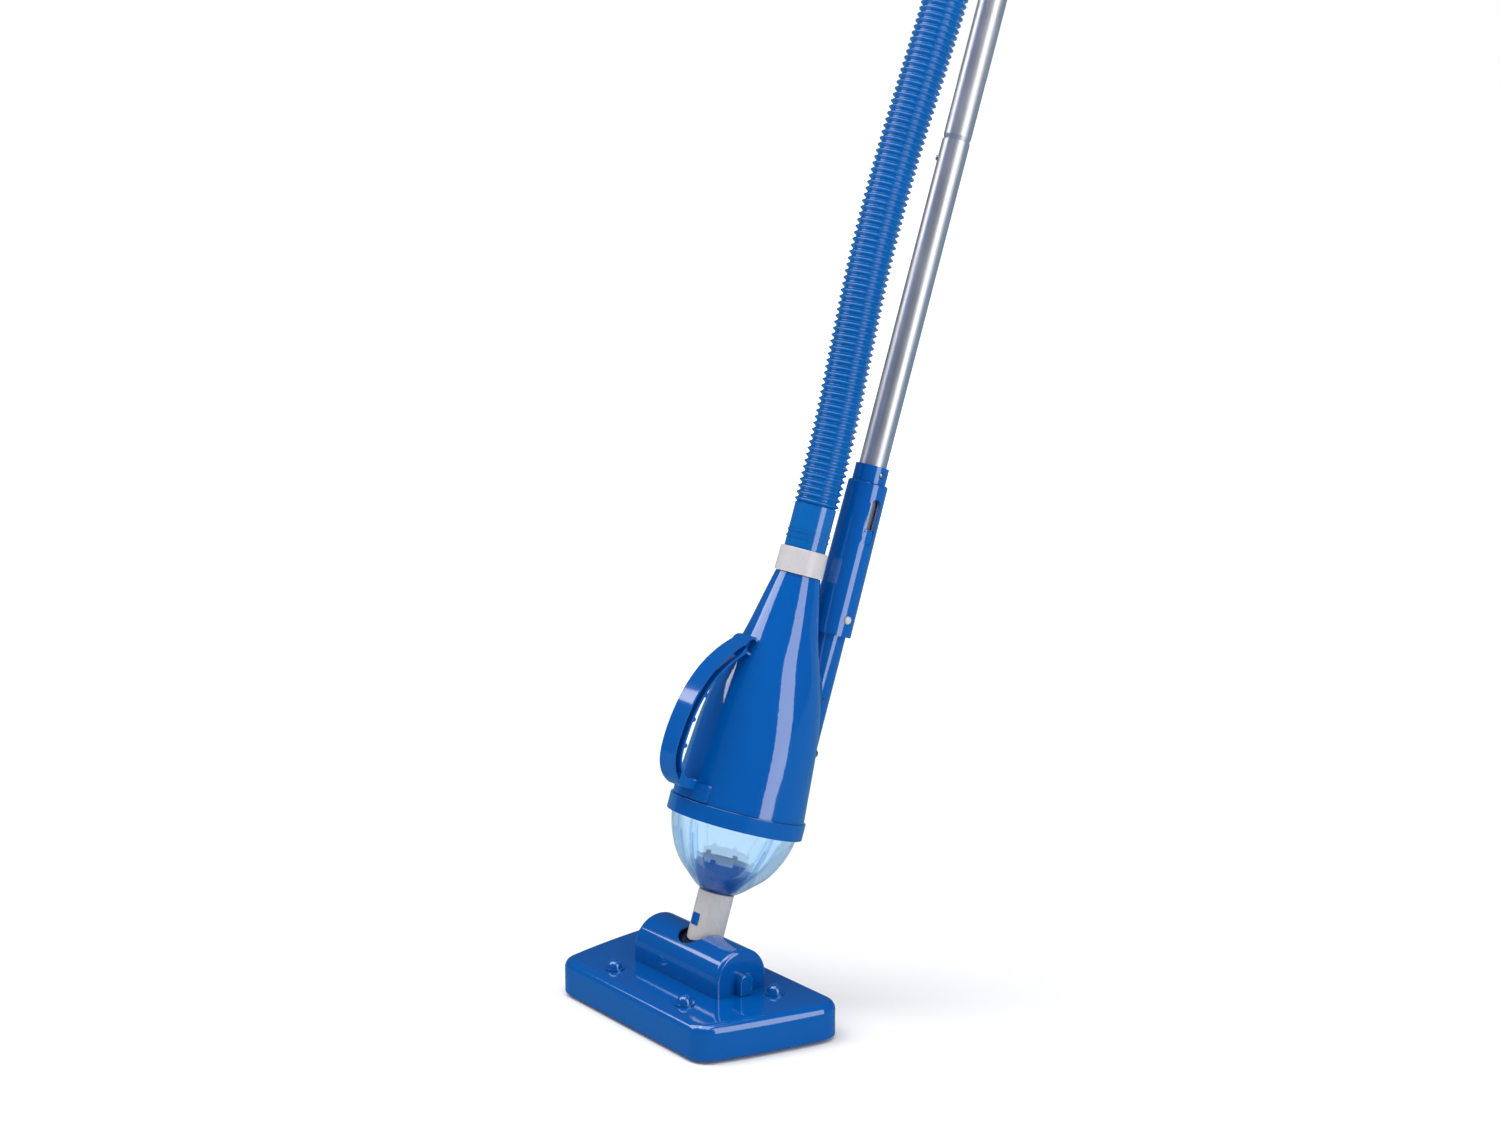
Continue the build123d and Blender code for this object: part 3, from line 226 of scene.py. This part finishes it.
def moulded_plastic(name, colour, gloss, spread=0.06, ripple=0.05, grain=0.0, coat=0.0):
    """Injection-moulded plastic: a faint mottle, sink ripples, fine grain and rubbed patches in its gloss."""
    material, tree, shader = shader_tree(name)
    coords = object_coords(tree)
    mottle = noise(tree, coords, 9.0, 4.0)
    tree.links.new(tinted(tree, mottle, shaded(colour, 1 - spread), shaded(colour, 1 + spread)),
                   shader.inputs["Base Color"])
    rub = noise(tree, object_coords(tree, (1.0, 1.0, 0.3)), 60.0, 6.0, 0.7)
    tree.links.new(ranged(tree, rub, gloss * 0.8, gloss * 1.35), shader.inputs["Roughness"])
    layers = [(noise(tree, coords, 26.0, 1.0), ripple, 0.002)]
    if grain:
        layers.append((noise(tree, coords, 1900.0, 2.0), grain, 0.0002))
    bumped(tree, shader, layers)
    shader.inputs["IOR"].default_value = 1.5
    shader.inputs["Coat Weight"].default_value = coat
    shader.inputs["Coat Roughness"].default_value = 0.04
    shader.inputs["Coat IOR"].default_value = 1.55
    return material


def dark_drum_neck_plastic(name, colour, drum_colour, drum_radius=0.0262):
    """The neck's off-white plastic, near-black inside the drum's radius round the swivel axis."""
    material = moulded_plastic(name, colour, 0.26, 0.02, 0.03, grain=0.03)
    tree = material.node_tree
    shader = next(node for node in tree.nodes if node.bl_idname == "ShaderNodeBsdfPrincipled")
    from_axis = tree.nodes.new("ShaderNodeMapping")
    from_axis.inputs["Location"].default_value = (0.0, 0.0, -SWIVEL_Z / 1000)
    from_axis.inputs["Scale"].default_value = (0.0, 1.0, 1.0)
    coords = tree.nodes.new("ShaderNodeTexCoord")
    distance = tree.nodes.new("ShaderNodeVectorMath")
    distance.operation = "LENGTH"
    tree.links.new(coords.outputs["Object"], from_axis.inputs["Vector"])
    tree.links.new(from_axis.outputs["Vector"], distance.inputs[0])
    outside = ranged(tree, distance.outputs["Value"], 0.0, 1.0, drum_radius - 0.0003, drum_radius)
    # near-black within the drum's radius round the swivel axis, off-white outside it
    mix = tree.nodes.new("ShaderNodeMix")
    mix.data_type = "RGBA"
    tree.links.new(outside, mix.inputs["Factor"])
    tree.links.new(shader.inputs["Base Color"].links[0].from_socket, mix.inputs[COLOUR_B])
    mix.inputs[COLOUR_A].default_value = (*drum_colour, 1.0)
    tree.links.new(mix.outputs[COLOUR_OUT], shader.inputs["Base Color"])
    return material


def near_ribs(tree):
    """1 in the dome's ribs, which stand in three planes through the tool's axis, and 0 beside them."""
    coords = tree.nodes.new("ShaderNodeTexCoord")
    from_axis = tree.nodes.new("ShaderNodeVectorMath")
    from_axis.operation = "SUBTRACT"
    from_axis.inputs[1].default_value = (0.0, 0.0, SWIVEL_Z / 1000)
    tree.links.new(coords.outputs["Object"], from_axis.inputs[0])
    nearest = None
    for turn in RIB_PLANES:
        across = TOOL_TURN @ Vector((-sin(radians(turn)), cos(radians(turn)), 0.0))
        offset, size = tree.nodes.new("ShaderNodeVectorMath"), tree.nodes.new("ShaderNodeMath")
        offset.operation, size.operation = "DOT_PRODUCT", "ABSOLUTE"
        offset.inputs[1].default_value = across
        tree.links.new(from_axis.outputs["Vector"], offset.inputs[0])
        tree.links.new(offset.outputs["Value"], size.inputs[0])
        if nearest is None:
            nearest = size.outputs["Value"]
            continue
        least = tree.nodes.new("ShaderNodeMath")
        least.operation = "MINIMUM"
        tree.links.new(nearest, least.inputs[0])
        tree.links.new(size.outputs["Value"], least.inputs[1])
        nearest = least.outputs["Value"]
    return ranged(tree, nearest, 1.0, 0.0, 0.0010, 0.0014)


def clear_plastic(name, tint, rib_tint):
    """Clear tinted polycarbonate, deeper where its ribs make it thick, rippled and faintly scratched."""
    material, tree, shader = shader_tree(name)
    coords = object_coords(tree)
    wall = tinted(tree, noise(tree, coords, 12.0, 3.0), shaded(tint, 0.95), tint)
    mix = tree.nodes.new("ShaderNodeMix")
    mix.data_type = "RGBA"
    tree.links.new(near_ribs(tree), mix.inputs["Factor"])
    tree.links.new(wall, mix.inputs[COLOUR_A])
    mix.inputs[COLOUR_B].default_value = (*rib_tint, 1.0)
    tree.links.new(mix.outputs[COLOUR_OUT], shader.inputs["Base Color"])
    scratches = noise(tree, object_coords(tree, (1.0, 1.0, 0.1)), 700.0, 4.0, 0.8)
    tree.links.new(ranged(tree, scratches, 0.015, 0.07), shader.inputs["Roughness"])
    bumped(tree, shader, [(noise(tree, coords, 30.0, 1.0), 0.06, 0.001)])
    shader.inputs["IOR"].default_value = 1.2
    shader.inputs["Transmission Weight"].default_value = 1.0
    shader.inputs["Alpha"].default_value = 0.6
    return material


def drawn_metal(name, colour, rough, streaks, turn=(0.0, 0.0, 0.0), metallic=1.0):
    """Drawn metal: long fine streaks along the draw, in its roughness, tone and surface."""
    material, tree, shader = shader_tree(name)
    along = object_coords(tree, (1.0, 1.0, 0.012), turn)
    streak = noise(tree, along, streaks, 5.0, 0.65)
    blotch = noise(tree, object_coords(tree), 30.0, 4.0)
    tree.links.new(tinted(tree, streak, shaded(colour, 0.90), shaded(colour, 1.06)),
                   shader.inputs["Base Color"])
    rough_sum = tree.nodes.new("ShaderNodeMath")
    rough_sum.operation = "MULTIPLY"
    tree.links.new(ranged(tree, streak, rough * 0.85, rough * 1.2), rough_sum.inputs[0])
    tree.links.new(ranged(tree, blotch, 0.9, 1.1), rough_sum.inputs[1])
    tree.links.new(rough_sum.outputs["Value"], shader.inputs["Roughness"])
    bumped(tree, shader, [(streak, 0.10, 0.0001)])
    shader.inputs["Metallic"].default_value = metallic
    return material


def seal_rubber(name):
    """Black seal rubber, with a powdery bloom."""
    material, tree, shader = shader_tree(name)
    coords = object_coords(tree)
    bloom = noise(tree, coords, 140.0, 5.0, 0.7)
    tree.links.new(tinted(tree, bloom, (0.012, 0.012, 0.014), (0.035, 0.035, 0.038)),
                   shader.inputs["Base Color"])
    tree.links.new(ranged(tree, bloom, 0.5, 0.75), shader.inputs["Roughness"])
    bumped(tree, shader, [(noise(tree, coords, 1500.0, 2.0), 0.2, 0.0002)])
    return material


def strainer_weave(name, pitch=0.0011):
    """A plain weave of white thread, on the strainer's own coordinates, with painted shade in the gaps
    between the threads.
    """
    material, tree, shader = shader_tree(name)
    heights = []
    for turn in ((0.0, 0.0, 0.0), (0.0, radians(90), 0.0)):
        wave = tree.nodes.new("ShaderNodeTexWave")
        wave.wave_profile = "SIN"
        wave.inputs["Scale"].default_value = 0.314 / pitch
        tree.links.new(object_coords(tree, turn=turn), wave.inputs["Vector"])
        heights.append(wave.outputs["Fac"])
    woven = tree.nodes.new("ShaderNodeMath")
    woven.operation = "MAXIMUM"
    tree.links.new(heights[0], woven.inputs[0])
    tree.links.new(heights[1], woven.inputs[1])
    # painted shade: dark grey in the gaps where neither thread crosses, light grey on the threads
    tree.links.new(tinted(tree, woven.outputs["Value"], (0.35, 0.37, 0.39), (0.80, 0.81, 0.82)),
                   shader.inputs["Base Color"])
    bumped(tree, shader, [(woven.outputs["Value"], 0.6, 0.0003)])
    shader.inputs["Roughness"].default_value = 0.75
    shader.inputs["Sheen Weight"].default_value = 0.2
    return material


def dress(names, material):
    """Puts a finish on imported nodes, whose meshes stay as they are."""
    for name in names:
        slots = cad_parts[name].material_slots
        if not slots:
            raise RuntimeError(f"{name} has no material slot")
        for entry in slots:
            entry.link = "OBJECT"
            entry.material = material


def shown_object(name, mesh):
    """A mesh as an object at the origin."""
    made = bpy.data.objects.new(name, mesh)
    bpy.context.scene.collection.objects.link(made)
    return made


# ================================================================ GEOMETRY NODES
def node_group(name, inputs):
    """An empty geometry tree with a mesh in, a mesh out and named inputs."""
    tree = bpy.data.node_groups.new(name, "GeometryNodeTree")
    tree.interface.new_socket("Geometry", in_out="INPUT", socket_type="NodeSocketGeometry")
    for label, kind in inputs:
        tree.interface.new_socket(label, in_out="INPUT", socket_type=kind)
    tree.interface.new_socket("Geometry", in_out="OUTPUT", socket_type="NodeSocketGeometry")
    return tree, tree.nodes.new("NodeGroupInput"), tree.nodes.new("NodeGroupOutput")


def math_node(tree, operation, first, second=None):
    """One step of arithmetic between sockets or numbers."""
    node = tree.nodes.new("ShaderNodeMath")
    node.operation = operation
    for index, value in enumerate((first, second)):
        if value is None:
            continue
        if isinstance(value, (int, float)):
            node.inputs[index].default_value = value
        else:
            tree.links.new(value, node.inputs[index])
    return node.outputs[0]


def finish_tree(tree, geometry, material, group_out):
    """Ends a tree: real meshes, smooth faces and the piece's finish."""
    real = tree.nodes.new("GeometryNodeRealizeInstances")
    smooth = tree.nodes.new("GeometryNodeSetShadeSmooth")
    painted = tree.nodes.new("GeometryNodeSetMaterial")
    tree.links.new(geometry, real.inputs["Geometry"])
    tree.links.new(real.outputs["Geometry"], smooth.inputs["Geometry"])
    tree.links.new(smooth.outputs["Geometry"], painted.inputs["Geometry"])
    painted.inputs["Material"].default_value = material
    tree.links.new(painted.outputs["Geometry"], group_out.inputs[0])


def grown(name, start, tree, values):
    """Runs a tree on a mesh and gives the result as a plain mesh object."""
    host = shown_object(name + "_start", start)
    modifier = host.modifiers.new("grow", "NODES")
    modifier.node_group = tree
    for item in tree.interface.items_tree:
        if item.in_out == "INPUT" and item.name in values:
            modifier[item.identifier] = values[item.name]
    bpy.context.view_layer.update()
    graph = bpy.context.evaluated_depsgraph_get()
    mesh = bpy.data.meshes.new_from_object(host.evaluated_get(graph))
    host.modifiers.clear()
    bpy.data.objects.remove(host)
    mesh.name = name
    if not mesh.polygons:
        raise RuntimeError(f"{name} came out empty")
    return shown_object(name, mesh)


def ridged_hose_tree(material):
    """A tube along a line, whose radius swells once for each ridge."""
    tree, group_in, group_out = node_group(
        "ridged_hose",
        [("Radius", "NodeSocketFloat"), ("Ridge Depth", "NodeSocketFloat"), ("Pitch", "NodeSocketFloat"),
         ("Rings", "NodeSocketInt"), ("Sides", "NodeSocketInt")],
    )
    link = tree.links.new
    line = tree.nodes.new("GeometryNodeMeshToCurve")
    even = tree.nodes.new("GeometryNodeResampleCurve")
    place = tree.nodes.new("GeometryNodeSplineParameter")
    swell = tree.nodes.new("GeometryNodeSetCurveRadius")
    ring = tree.nodes.new("GeometryNodeCurvePrimitiveCircle")
    tube = tree.nodes.new("GeometryNodeCurveToMesh")
    link(group_in.outputs["Geometry"], line.inputs["Mesh"])
    link(line.outputs["Curve"], even.inputs["Curve"])
    link(group_in.outputs["Rings"], even.inputs["Count"])
    turns = math_node(tree, "DIVIDE", place.outputs["Length"], group_in.outputs["Pitch"])
    wave = math_node(tree, "COSINE", math_node(tree, "MULTIPLY", turns, 2 * pi))
    half_wave = math_node(tree, "MULTIPLY", math_node(tree, "ADD", wave, 1.0), 0.5)
    valley = math_node(tree, "POWER", half_wave, 0.8)
    drop = math_node(tree, "MULTIPLY", valley, group_in.outputs["Ridge Depth"])
    radius = math_node(tree, "SUBTRACT", group_in.outputs["Radius"], drop)
    link(even.outputs["Curve"], swell.inputs["Curve"])
    link(radius, swell.inputs["Radius"])
    link(group_in.outputs["Sides"], ring.inputs["Resolution"])
    ring.inputs["Radius"].default_value = 1.0
    link(swell.outputs["Curve"], tube.inputs["Curve"])
    link(ring.outputs["Curve"], tube.inputs["Profile Curve"])
    tube.inputs["Fill Caps"].default_value = True
    if "Scale" in tube.inputs:
        scale_by = tree.nodes.new("GeometryNodeInputRadius")
        link(scale_by.outputs["Radius"], tube.inputs["Scale"])
    finish_tree(tree, tube.outputs["Mesh"], material, group_out)
    return tree


def screw_tree(screw, material):
    """One screw on each point, turned by the point's own turn attribute."""
    tree, group_in, group_out = node_group("screws", [("Screw Scale", "NodeSocketFloat")])
    link = tree.links.new
    model = tree.nodes.new("GeometryNodeObjectInfo")
    model.inputs["Object"].default_value = screw
    turned = tree.nodes.new("GeometryNodeInputNamedAttribute")
    turned.data_type = "FLOAT_VECTOR"
    turned.inputs["Name"].default_value = "turn"
    copies = tree.nodes.new("GeometryNodeInstanceOnPoints")
    link(group_in.outputs["Geometry"], copies.inputs["Points"])
    link(model.outputs["Geometry"], copies.inputs["Instance"])
    link(turned.outputs["Attribute"], copies.inputs["Rotation"])
    link(group_in.outputs["Screw Scale"], copies.inputs["Scale"])
    finish_tree(tree, copies.outputs["Instances"], material, group_out)
    return tree


# ================================================================ OPERATORS
class POOLCLEANER_OT_camera(bpy.types.Operator):
    """Set the camera in front of the cleaner's left side"""

    bl_idname = "poolcleaner.camera"
    bl_label = "Camera"

    def execute(self, context):
        data = bpy.data.cameras.new("camera")
        data.lens, data.sensor_width = 61.2, 36.0
        camera = bpy.data.objects.new("camera", data)
        context.scene.collection.objects.link(camera)
        camera.location = (1.9139, -1.3846, 0.9326)
        camera.rotation_mode = "QUATERNION"
        camera.rotation_quaternion = Vector((-0.78130, 0.59073, -0.20152)).to_track_quat("-Z", "Y")
        context.scene.camera = camera
        return {"FINISHED"}


class POOLCLEANER_OT_hose(bpy.types.Operator):
    """Make the ribbed hose along its route"""

    bl_idname = "poolcleaner.hose"
    bl_label = "Ribbed Hose"

    def execute(self, context):
        sizes, colours = context.scene.pool_cleaner_sizes, context.scene.pool_cleaner_colours
        finish = moulded_plastic("hose_plastic", colours.hose_blue, 0.14, spread=0.05, ripple=0.03, coat=1.0)
        dress(HOSE_MOULDINGS, finish)

        line = bpy.data.curves.new("hose_line", "CURVE")
        line.dimensions = "3D"
        line.resolution_u = 14
        spline = line.splines.new("NURBS")
        spline.points.add(len(HOSE_ROUTE) - 1)
        for point, place in zip(spline.points, HOSE_ROUTE):
            point.co = (*leaned(*place), 1.0)
        spline.order_u = 3
        spline.use_endpoint_u = True
        holder = bpy.data.objects.new("hose_line", line)
        context.scene.collection.objects.link(holder)
        context.view_layer.update()
        track = bpy.data.meshes.new_from_object(holder.evaluated_get(context.evaluated_depsgraph_get()))
        bpy.data.objects.remove(holder)

        rings = round(sizes.hose_length / sizes.ridge_pitch) * RINGS_PER_RIDGE + 1
        hose = grown(
            "ridged_hose", track, ridged_hose_tree(finish),
            {"Radius": sizes.hose_radius, "Ridge Depth": sizes.ridge_depth, "Pitch": sizes.ridge_pitch,
             "Rings": rings, "Sides": HOSE_SIDES},
        )
        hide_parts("hose")
        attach(hose, "collector")
        return {"FINISHED"}


class POOLCLEANER_OT_mouldings(bpy.types.Operator):
    """Finish the blue, off-white and grey mouldings"""

    bl_idname = "poolcleaner.mouldings"
    bl_label = "Mouldings"

    def execute(self, context):
        colours = context.scene.pool_cleaner_colours
        dress(BLUE_MOULDINGS, moulded_plastic("gloss_blue", colours.shell_blue, 0.075, 0.03, 0.035, coat=1.0))
        dress(WHITE_MOULDINGS, moulded_plastic("off_white", colours.off_white, 0.26, 0.02, 0.03, grain=0.03))
        dress(("swivel_neck",), dark_drum_neck_plastic("neck_plastic", colours.off_white, (0.004, 0.01, 0.03)))
        dress(GREY_MOULDINGS, moulded_plastic("wheel_grey", colours.wheel_grey, 0.5, 0.12, 0.1, grain=0.25))
        dress(RUBBER_PARTS, seal_rubber("seal_rubber"))
        dress(("strainer_mesh",), strainer_weave("strainer_weave"))
        return {"FINISHED"}


class POOLCLEANER_OT_dome(bpy.types.Operator):
    """Finish the clear debris dome"""

    bl_idname = "poolcleaner.dome"
    bl_label = "Clear Dome"

    def execute(self, context):
        colours = context.scene.pool_cleaner_colours
        dress(("debris_dome",), clear_plastic("clear_dome", colours.dome_tint, (0.10, 0.34, 0.66)))
        return {"FINISHED"}


class POOLCLEANER_OT_metalwork(bpy.types.Operator):
    """Finish the pole's tubes and the small steel parts"""

    bl_idname = "poolcleaner.metalwork"
    bl_label = "Metalwork"

    def execute(self, context):
        colours = context.scene.pool_cleaner_colours
        dress(POLE_TUBES, drawn_metal("satin_tube", colours.tube, 0.38, 900.0, (LEAN, 0.0, 0.0), 0.88))
        dress(STEEL_PARTS, drawn_metal("plain_steel", (0.58, 0.57, 0.56), 0.22, 500.0))
        return {"FINISHED"}


def screw_model(radius, height, sides):
    """A pan-head screw's head on the origin, standing along +Z, with a cross recess."""
    shape = bmesh.new()
    rows = [(1.0, 0.0), (1.0, 0.35), (0.94, 0.62), (0.78, 0.85), (0.5, 1.0)]
    loops = [
        [shape.verts.new((radius * out * cos(2 * pi * k / sides), radius * out * sin(2 * pi * k / sides),
                          height * up)) for k in range(sides)]
        for out, up in rows
    ]
    for low, high in zip(loops, loops[1:]):
        for k in range(sides):
            shape.faces.new((low[k], low[(k + 1) % sides], high[(k + 1) % sides], high[k]))
    shape.faces.new(list(reversed(loops[0])))
    # the cross is sunk: the top's rim goes in to a plus-shaped pit
    arm, half, deep = 0.44 * radius, 0.11 * radius, height * 0.45
    plus = [(arm, -half), (arm, half), (half, half), (half, arm), (-half, arm), (-half, half),
            (-arm, half), (-arm, -half), (-half, -half), (-half, -arm), (half, -arm), (half, -half)]
    rim = [shape.verts.new((x, y, height)) for x, y in plus]
    pit = [shape.verts.new((x * 0.8, y * 0.8, height - deep)) for x, y in plus]
    for k in range(12):
        shape.faces.new((rim[k], pit[k], pit[(k + 1) % 12], rim[(k + 1) % 12]))
    shape.faces.new(pit)
    edges = [e for e in shape.edges if e.is_boundary]
    bmesh.ops.triangle_fill(shape, edges=edges, use_beauty=True)
    bmesh.ops.recalc_face_normals(shape, faces=shape.faces)
    mesh = bpy.data.meshes.new("screw_head")
    shape.to_mesh(mesh)
    shape.free()
    return mesh


class POOLCLEANER_OT_screws(bpy.types.Operator):
    """Make the pan-head screws of the base plate and of the pole stub's saddle"""

    bl_idname = "poolcleaner.screws"
    bl_label = "Screws"

    def execute(self, context):
        sizes = context.scene.pool_cleaner_sizes
        steel = bpy.data.materials.get("plain_steel")
        if steel is None:
            raise RuntimeError("make the metalwork first")
        for name, node, body, up in (
            ("base_screw_heads", "base_screws", "head", Vector((0, 0, -1))),
            ("saddle_screw_heads", "stub_screws", "collector", TOOL_TURN @ Vector((0, 1, 0))),
        ):
            tall = BASE_HEAD_TALL if body == "head" else SADDLE_HEAD_TALL
            pan_head = screw_model(sizes.screw_head, tall, sizes.screw_sides)
            source = bpy.data.objects.new("screw_source", pan_head)
            context.scene.collection.objects.link(source)
            points = bpy.data.meshes.new(name + "_points")
            places = screw_places(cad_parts[node].data, up, tall)
            points.from_pydata(places, [], [])
            turn = points.attributes.new("turn", "FLOAT_VECTOR", "POINT")
            for k, item in enumerate(turn.data):
                spin = Matrix.Rotation(SCREW_TURN_STEP * k + SCREW_TURN_FIRST, 3, "Z")
                own = Vector(up).to_track_quat("Z", "Y").to_matrix() @ spin
                item.vector = own.to_euler()
            made = grown(name, points, screw_tree(source, steel), {"Screw Scale": 1.0})
            bpy.data.objects.remove(source)
            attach(made, body)
            dress((node,), steel)
        return {"FINISHED"}


def screw_places(mesh, up, tall):
    """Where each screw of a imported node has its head's seat: one point for each loose solid."""
    solids = bmesh.new()
    solids.from_mesh(mesh)
    bmesh.ops.remove_doubles(solids, verts=solids.verts, dist=1e-6)
    reached, places = set(), []
    for first in solids.verts:
        if first in reached:
            continue
        reached.add(first)
        stack, solid = [first], []
        while stack:
            vertex = stack.pop()
            solid.append(vertex.co.copy())
            for edge in vertex.link_edges:
                other = edge.other_vert(vertex)
                if other not in reached:
                    reached.add(other)
                    stack.append(other)
        reach = max(point.dot(up) for point in solid)
        top = [point for point in solid if point.dot(up) > reach - 1e-4]
        middle = sum(top, Vector()) / len(top)
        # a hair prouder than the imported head, which it covers
        places.append(tuple(middle - up * (tall - HEAD_PROUD)))
    solids.free()
    # to 0.01 mm, so that rounding never swaps two screws that stand level
    return sorted(places, key=lambda place: [round(value, 5) for value in place])


def mirrored_ray(tree):
    """1 for a ray that something mirrors, and 0 for any other, such as one that goes through the dome."""
    rays, through = tree.nodes.new("ShaderNodeLightPath"), tree.nodes.new("ShaderNodeMath")
    through.operation = "SUBTRACT"
    through.use_clamp = True
    tree.links.new(rays.outputs["Is Glossy Ray"], through.inputs[0])
    tree.links.new(rays.outputs["Is Transmission Ray"], through.inputs[1])
    return through.outputs["Value"], rays


def soft_box(name, place, aim, wide, tall, power, colour=(1.0, 1.0, 1.0)):
    """A rectangular studio light that looks at a point."""
    data = bpy.data.lights.new(name, "AREA")
    data.shape, data.size, data.size_y = "RECTANGLE", wide, tall
    data.energy, data.color = power, colour
    light = bpy.data.objects.new(name, data)
    bpy.context.scene.collection.objects.link(light)
    light.location = place
    light.rotation_euler = (Vector(aim) - Vector(place)).to_track_quat("-Z", "Y").to_euler()
    return light


class POOLCLEANER_OT_studio(bpy.types.Operator):
    """Make the pale floor and the soft studio light"""

    bl_idname = "poolcleaner.studio"
    bl_label = "Studio"

    def execute(self, context):
        scene = context.scene
        paper, tree, shader = shader_tree("studio_paper")
        tone = noise(tree, object_coords(tree), 3.0, 2.0)
        colour = scene.pool_cleaner_colours.floor
        tree.links.new(tinted(tree, tone, shaded(colour, 0.995), colour), shader.inputs["Base Color"])
        shader.inputs["Roughness"].default_value = 0.9
        # the sheet brightens away from the object, so that it has no horizon
        distance = tree.nodes.new("ShaderNodeVectorMath")
        distance.operation = "LENGTH"
        tree.links.new(object_coords(tree), distance.inputs[0])
        tree.links.new(ranged(tree, distance.outputs["Value"], 0.0, 1.0, 0.6, 3.5),
                       shader.inputs["Emission Strength"])
        shader.inputs["Emission Color"].default_value = (1.0, 1.0, 1.0, 1.0)
        reach = 40.0
        sheet = bpy.data.meshes.new("studio_floor")
        sheet.from_pydata([(-reach, -reach, 0), (reach, -reach, 0), (reach, reach, 0), (-reach, reach, 0)],
                          [], [(0, 1, 2, 3)])
        sheet.materials.append(paper)
        # in mirrored rays the sheet is swapped for a pale blue glow, a painted reflection in the gloss
        # plastic
        faint = tree.nodes.new("ShaderNodeEmission")
        faint.inputs["Color"].default_value = (0.20, 0.48, 0.74, 1.0)
        faint.inputs["Strength"].default_value = 0.45
        choice = tree.nodes.new("ShaderNodeMixShader")
        output = next(node for node in tree.nodes if node.bl_idname == "ShaderNodeOutputMaterial")
        tree.links.new(mirrored_ray(tree)[0], choice.inputs[0])
        tree.links.new(shader.outputs["BSDF"], choice.inputs[1])
        tree.links.new(faint.outputs["Emission"], choice.inputs[2])
        tree.links.new(choice.outputs["Shader"], output.inputs["Surface"])
        shown_object("studio_floor", sheet)

        aim = (0.0, 0.1, 0.5)
        # angles are turned from the camera's side of the object, to the right as it sees it
        for name, turn, away, high, wide, tall, power in (
            ("left_box", -96, 2.0, 2.65, 1.9, 2.8, 54),
            ("right_box", 49, 2.0, 1.15, 1.1, 2.4, 23),
        ):
            way = radians(-37.1 + turn)
            soft_box(name, (away * cos(way), away * sin(way) + 0.1, high), aim, wide, tall, power)
        soft_box("top_box", (0.3, -0.4, 3.0), aim, 2.2, 2.2, 45)

        world = bpy.data.worlds.new("studio_air")
        scene.world = world
        world.use_nodes = True
        air = world.node_tree
        air.nodes.clear()
        out = air.nodes.new("ShaderNodeOutputWorld")
        glow = air.nodes.new("ShaderNodeBackground")
        glow.inputs["Color"].default_value = (0.96, 0.97, 1.0, 1.0)
        glow.inputs["Strength"].default_value = 0.40
        dim = air.nodes.new("ShaderNodeBackground")
        dim.inputs["Color"].default_value = (0.45, 0.65, 1.0, 1.0)
        dim.inputs["Strength"].default_value = 0.10
        mirrored = air.nodes.new("ShaderNodeMixShader")
        backdrop = air.nodes.new("ShaderNodeBackground")
        backdrop.inputs["Color"].default_value = (1.0, 1.0, 1.0, 1.0)
        choice = air.nodes.new("ShaderNodeMixShader")
        mirror, rays = mirrored_ray(air)
        air.links.new(rays.outputs["Is Camera Ray"], choice.inputs[0])
        air.links.new(mirror, mirrored.inputs[0])
        air.links.new(glow.outputs["Background"], mirrored.inputs[1])
        air.links.new(dim.outputs["Background"], mirrored.inputs[2])
        air.links.new(mirrored.outputs["Shader"], choice.inputs[1])
        air.links.new(backdrop.outputs["Background"], choice.inputs[2])
        air.links.new(choice.outputs["Shader"], out.inputs["Surface"])
        scene.view_settings.view_transform = "Standard"
        return {"FINISHED"}


class POOLCLEANER_PT_panel(bpy.types.Panel):
    """Lists the sizes, the colours and the pieces in the order they are made"""

    bl_idname = "POOLCLEANER_PT_panel"
    bl_label = "Pool Cleaner"
    bl_space_type = "VIEW_3D"
    bl_region_type = "UI"
    bl_category = "Pool Cleaner"

    def draw(self, context):
        for settings in (context.scene.pool_cleaner_sizes, context.scene.pool_cleaner_colours):
            column = self.layout.column(align=True)
            for name in settings.__annotations__:
                column.prop(settings, name)
        for maker in MAKERS:
            self.layout.operator(maker.bl_idname)


MAKERS = (
    POOLCLEANER_OT_camera,
    POOLCLEANER_OT_hose,
    POOLCLEANER_OT_mouldings,
    POOLCLEANER_OT_dome,
    POOLCLEANER_OT_metalwork,
    POOLCLEANER_OT_screws,
    POOLCLEANER_OT_studio,
)
CLASSES = (PoolCleanerSizes, PoolCleanerColours, *MAKERS, POOLCLEANER_PT_panel)


def register():
    for entry in CLASSES:
        bpy.utils.register_class(entry)
    bpy.types.Scene.pool_cleaner_sizes = PointerProperty(type=PoolCleanerSizes)
    bpy.types.Scene.pool_cleaner_colours = PointerProperty(type=PoolCleanerColours)


def unregister():
    del bpy.types.Scene.pool_cleaner_colours
    del bpy.types.Scene.pool_cleaner_sizes
    for entry in reversed(CLASSES):
        bpy.utils.unregister_class(entry)


def main():
    """Make every piece in order."""
    register()
    for maker in MAKERS:
        group, name = maker.bl_idname.split(".")
        getattr(getattr(bpy.ops, group), name)()


if __name__ == "__main__":
    main()
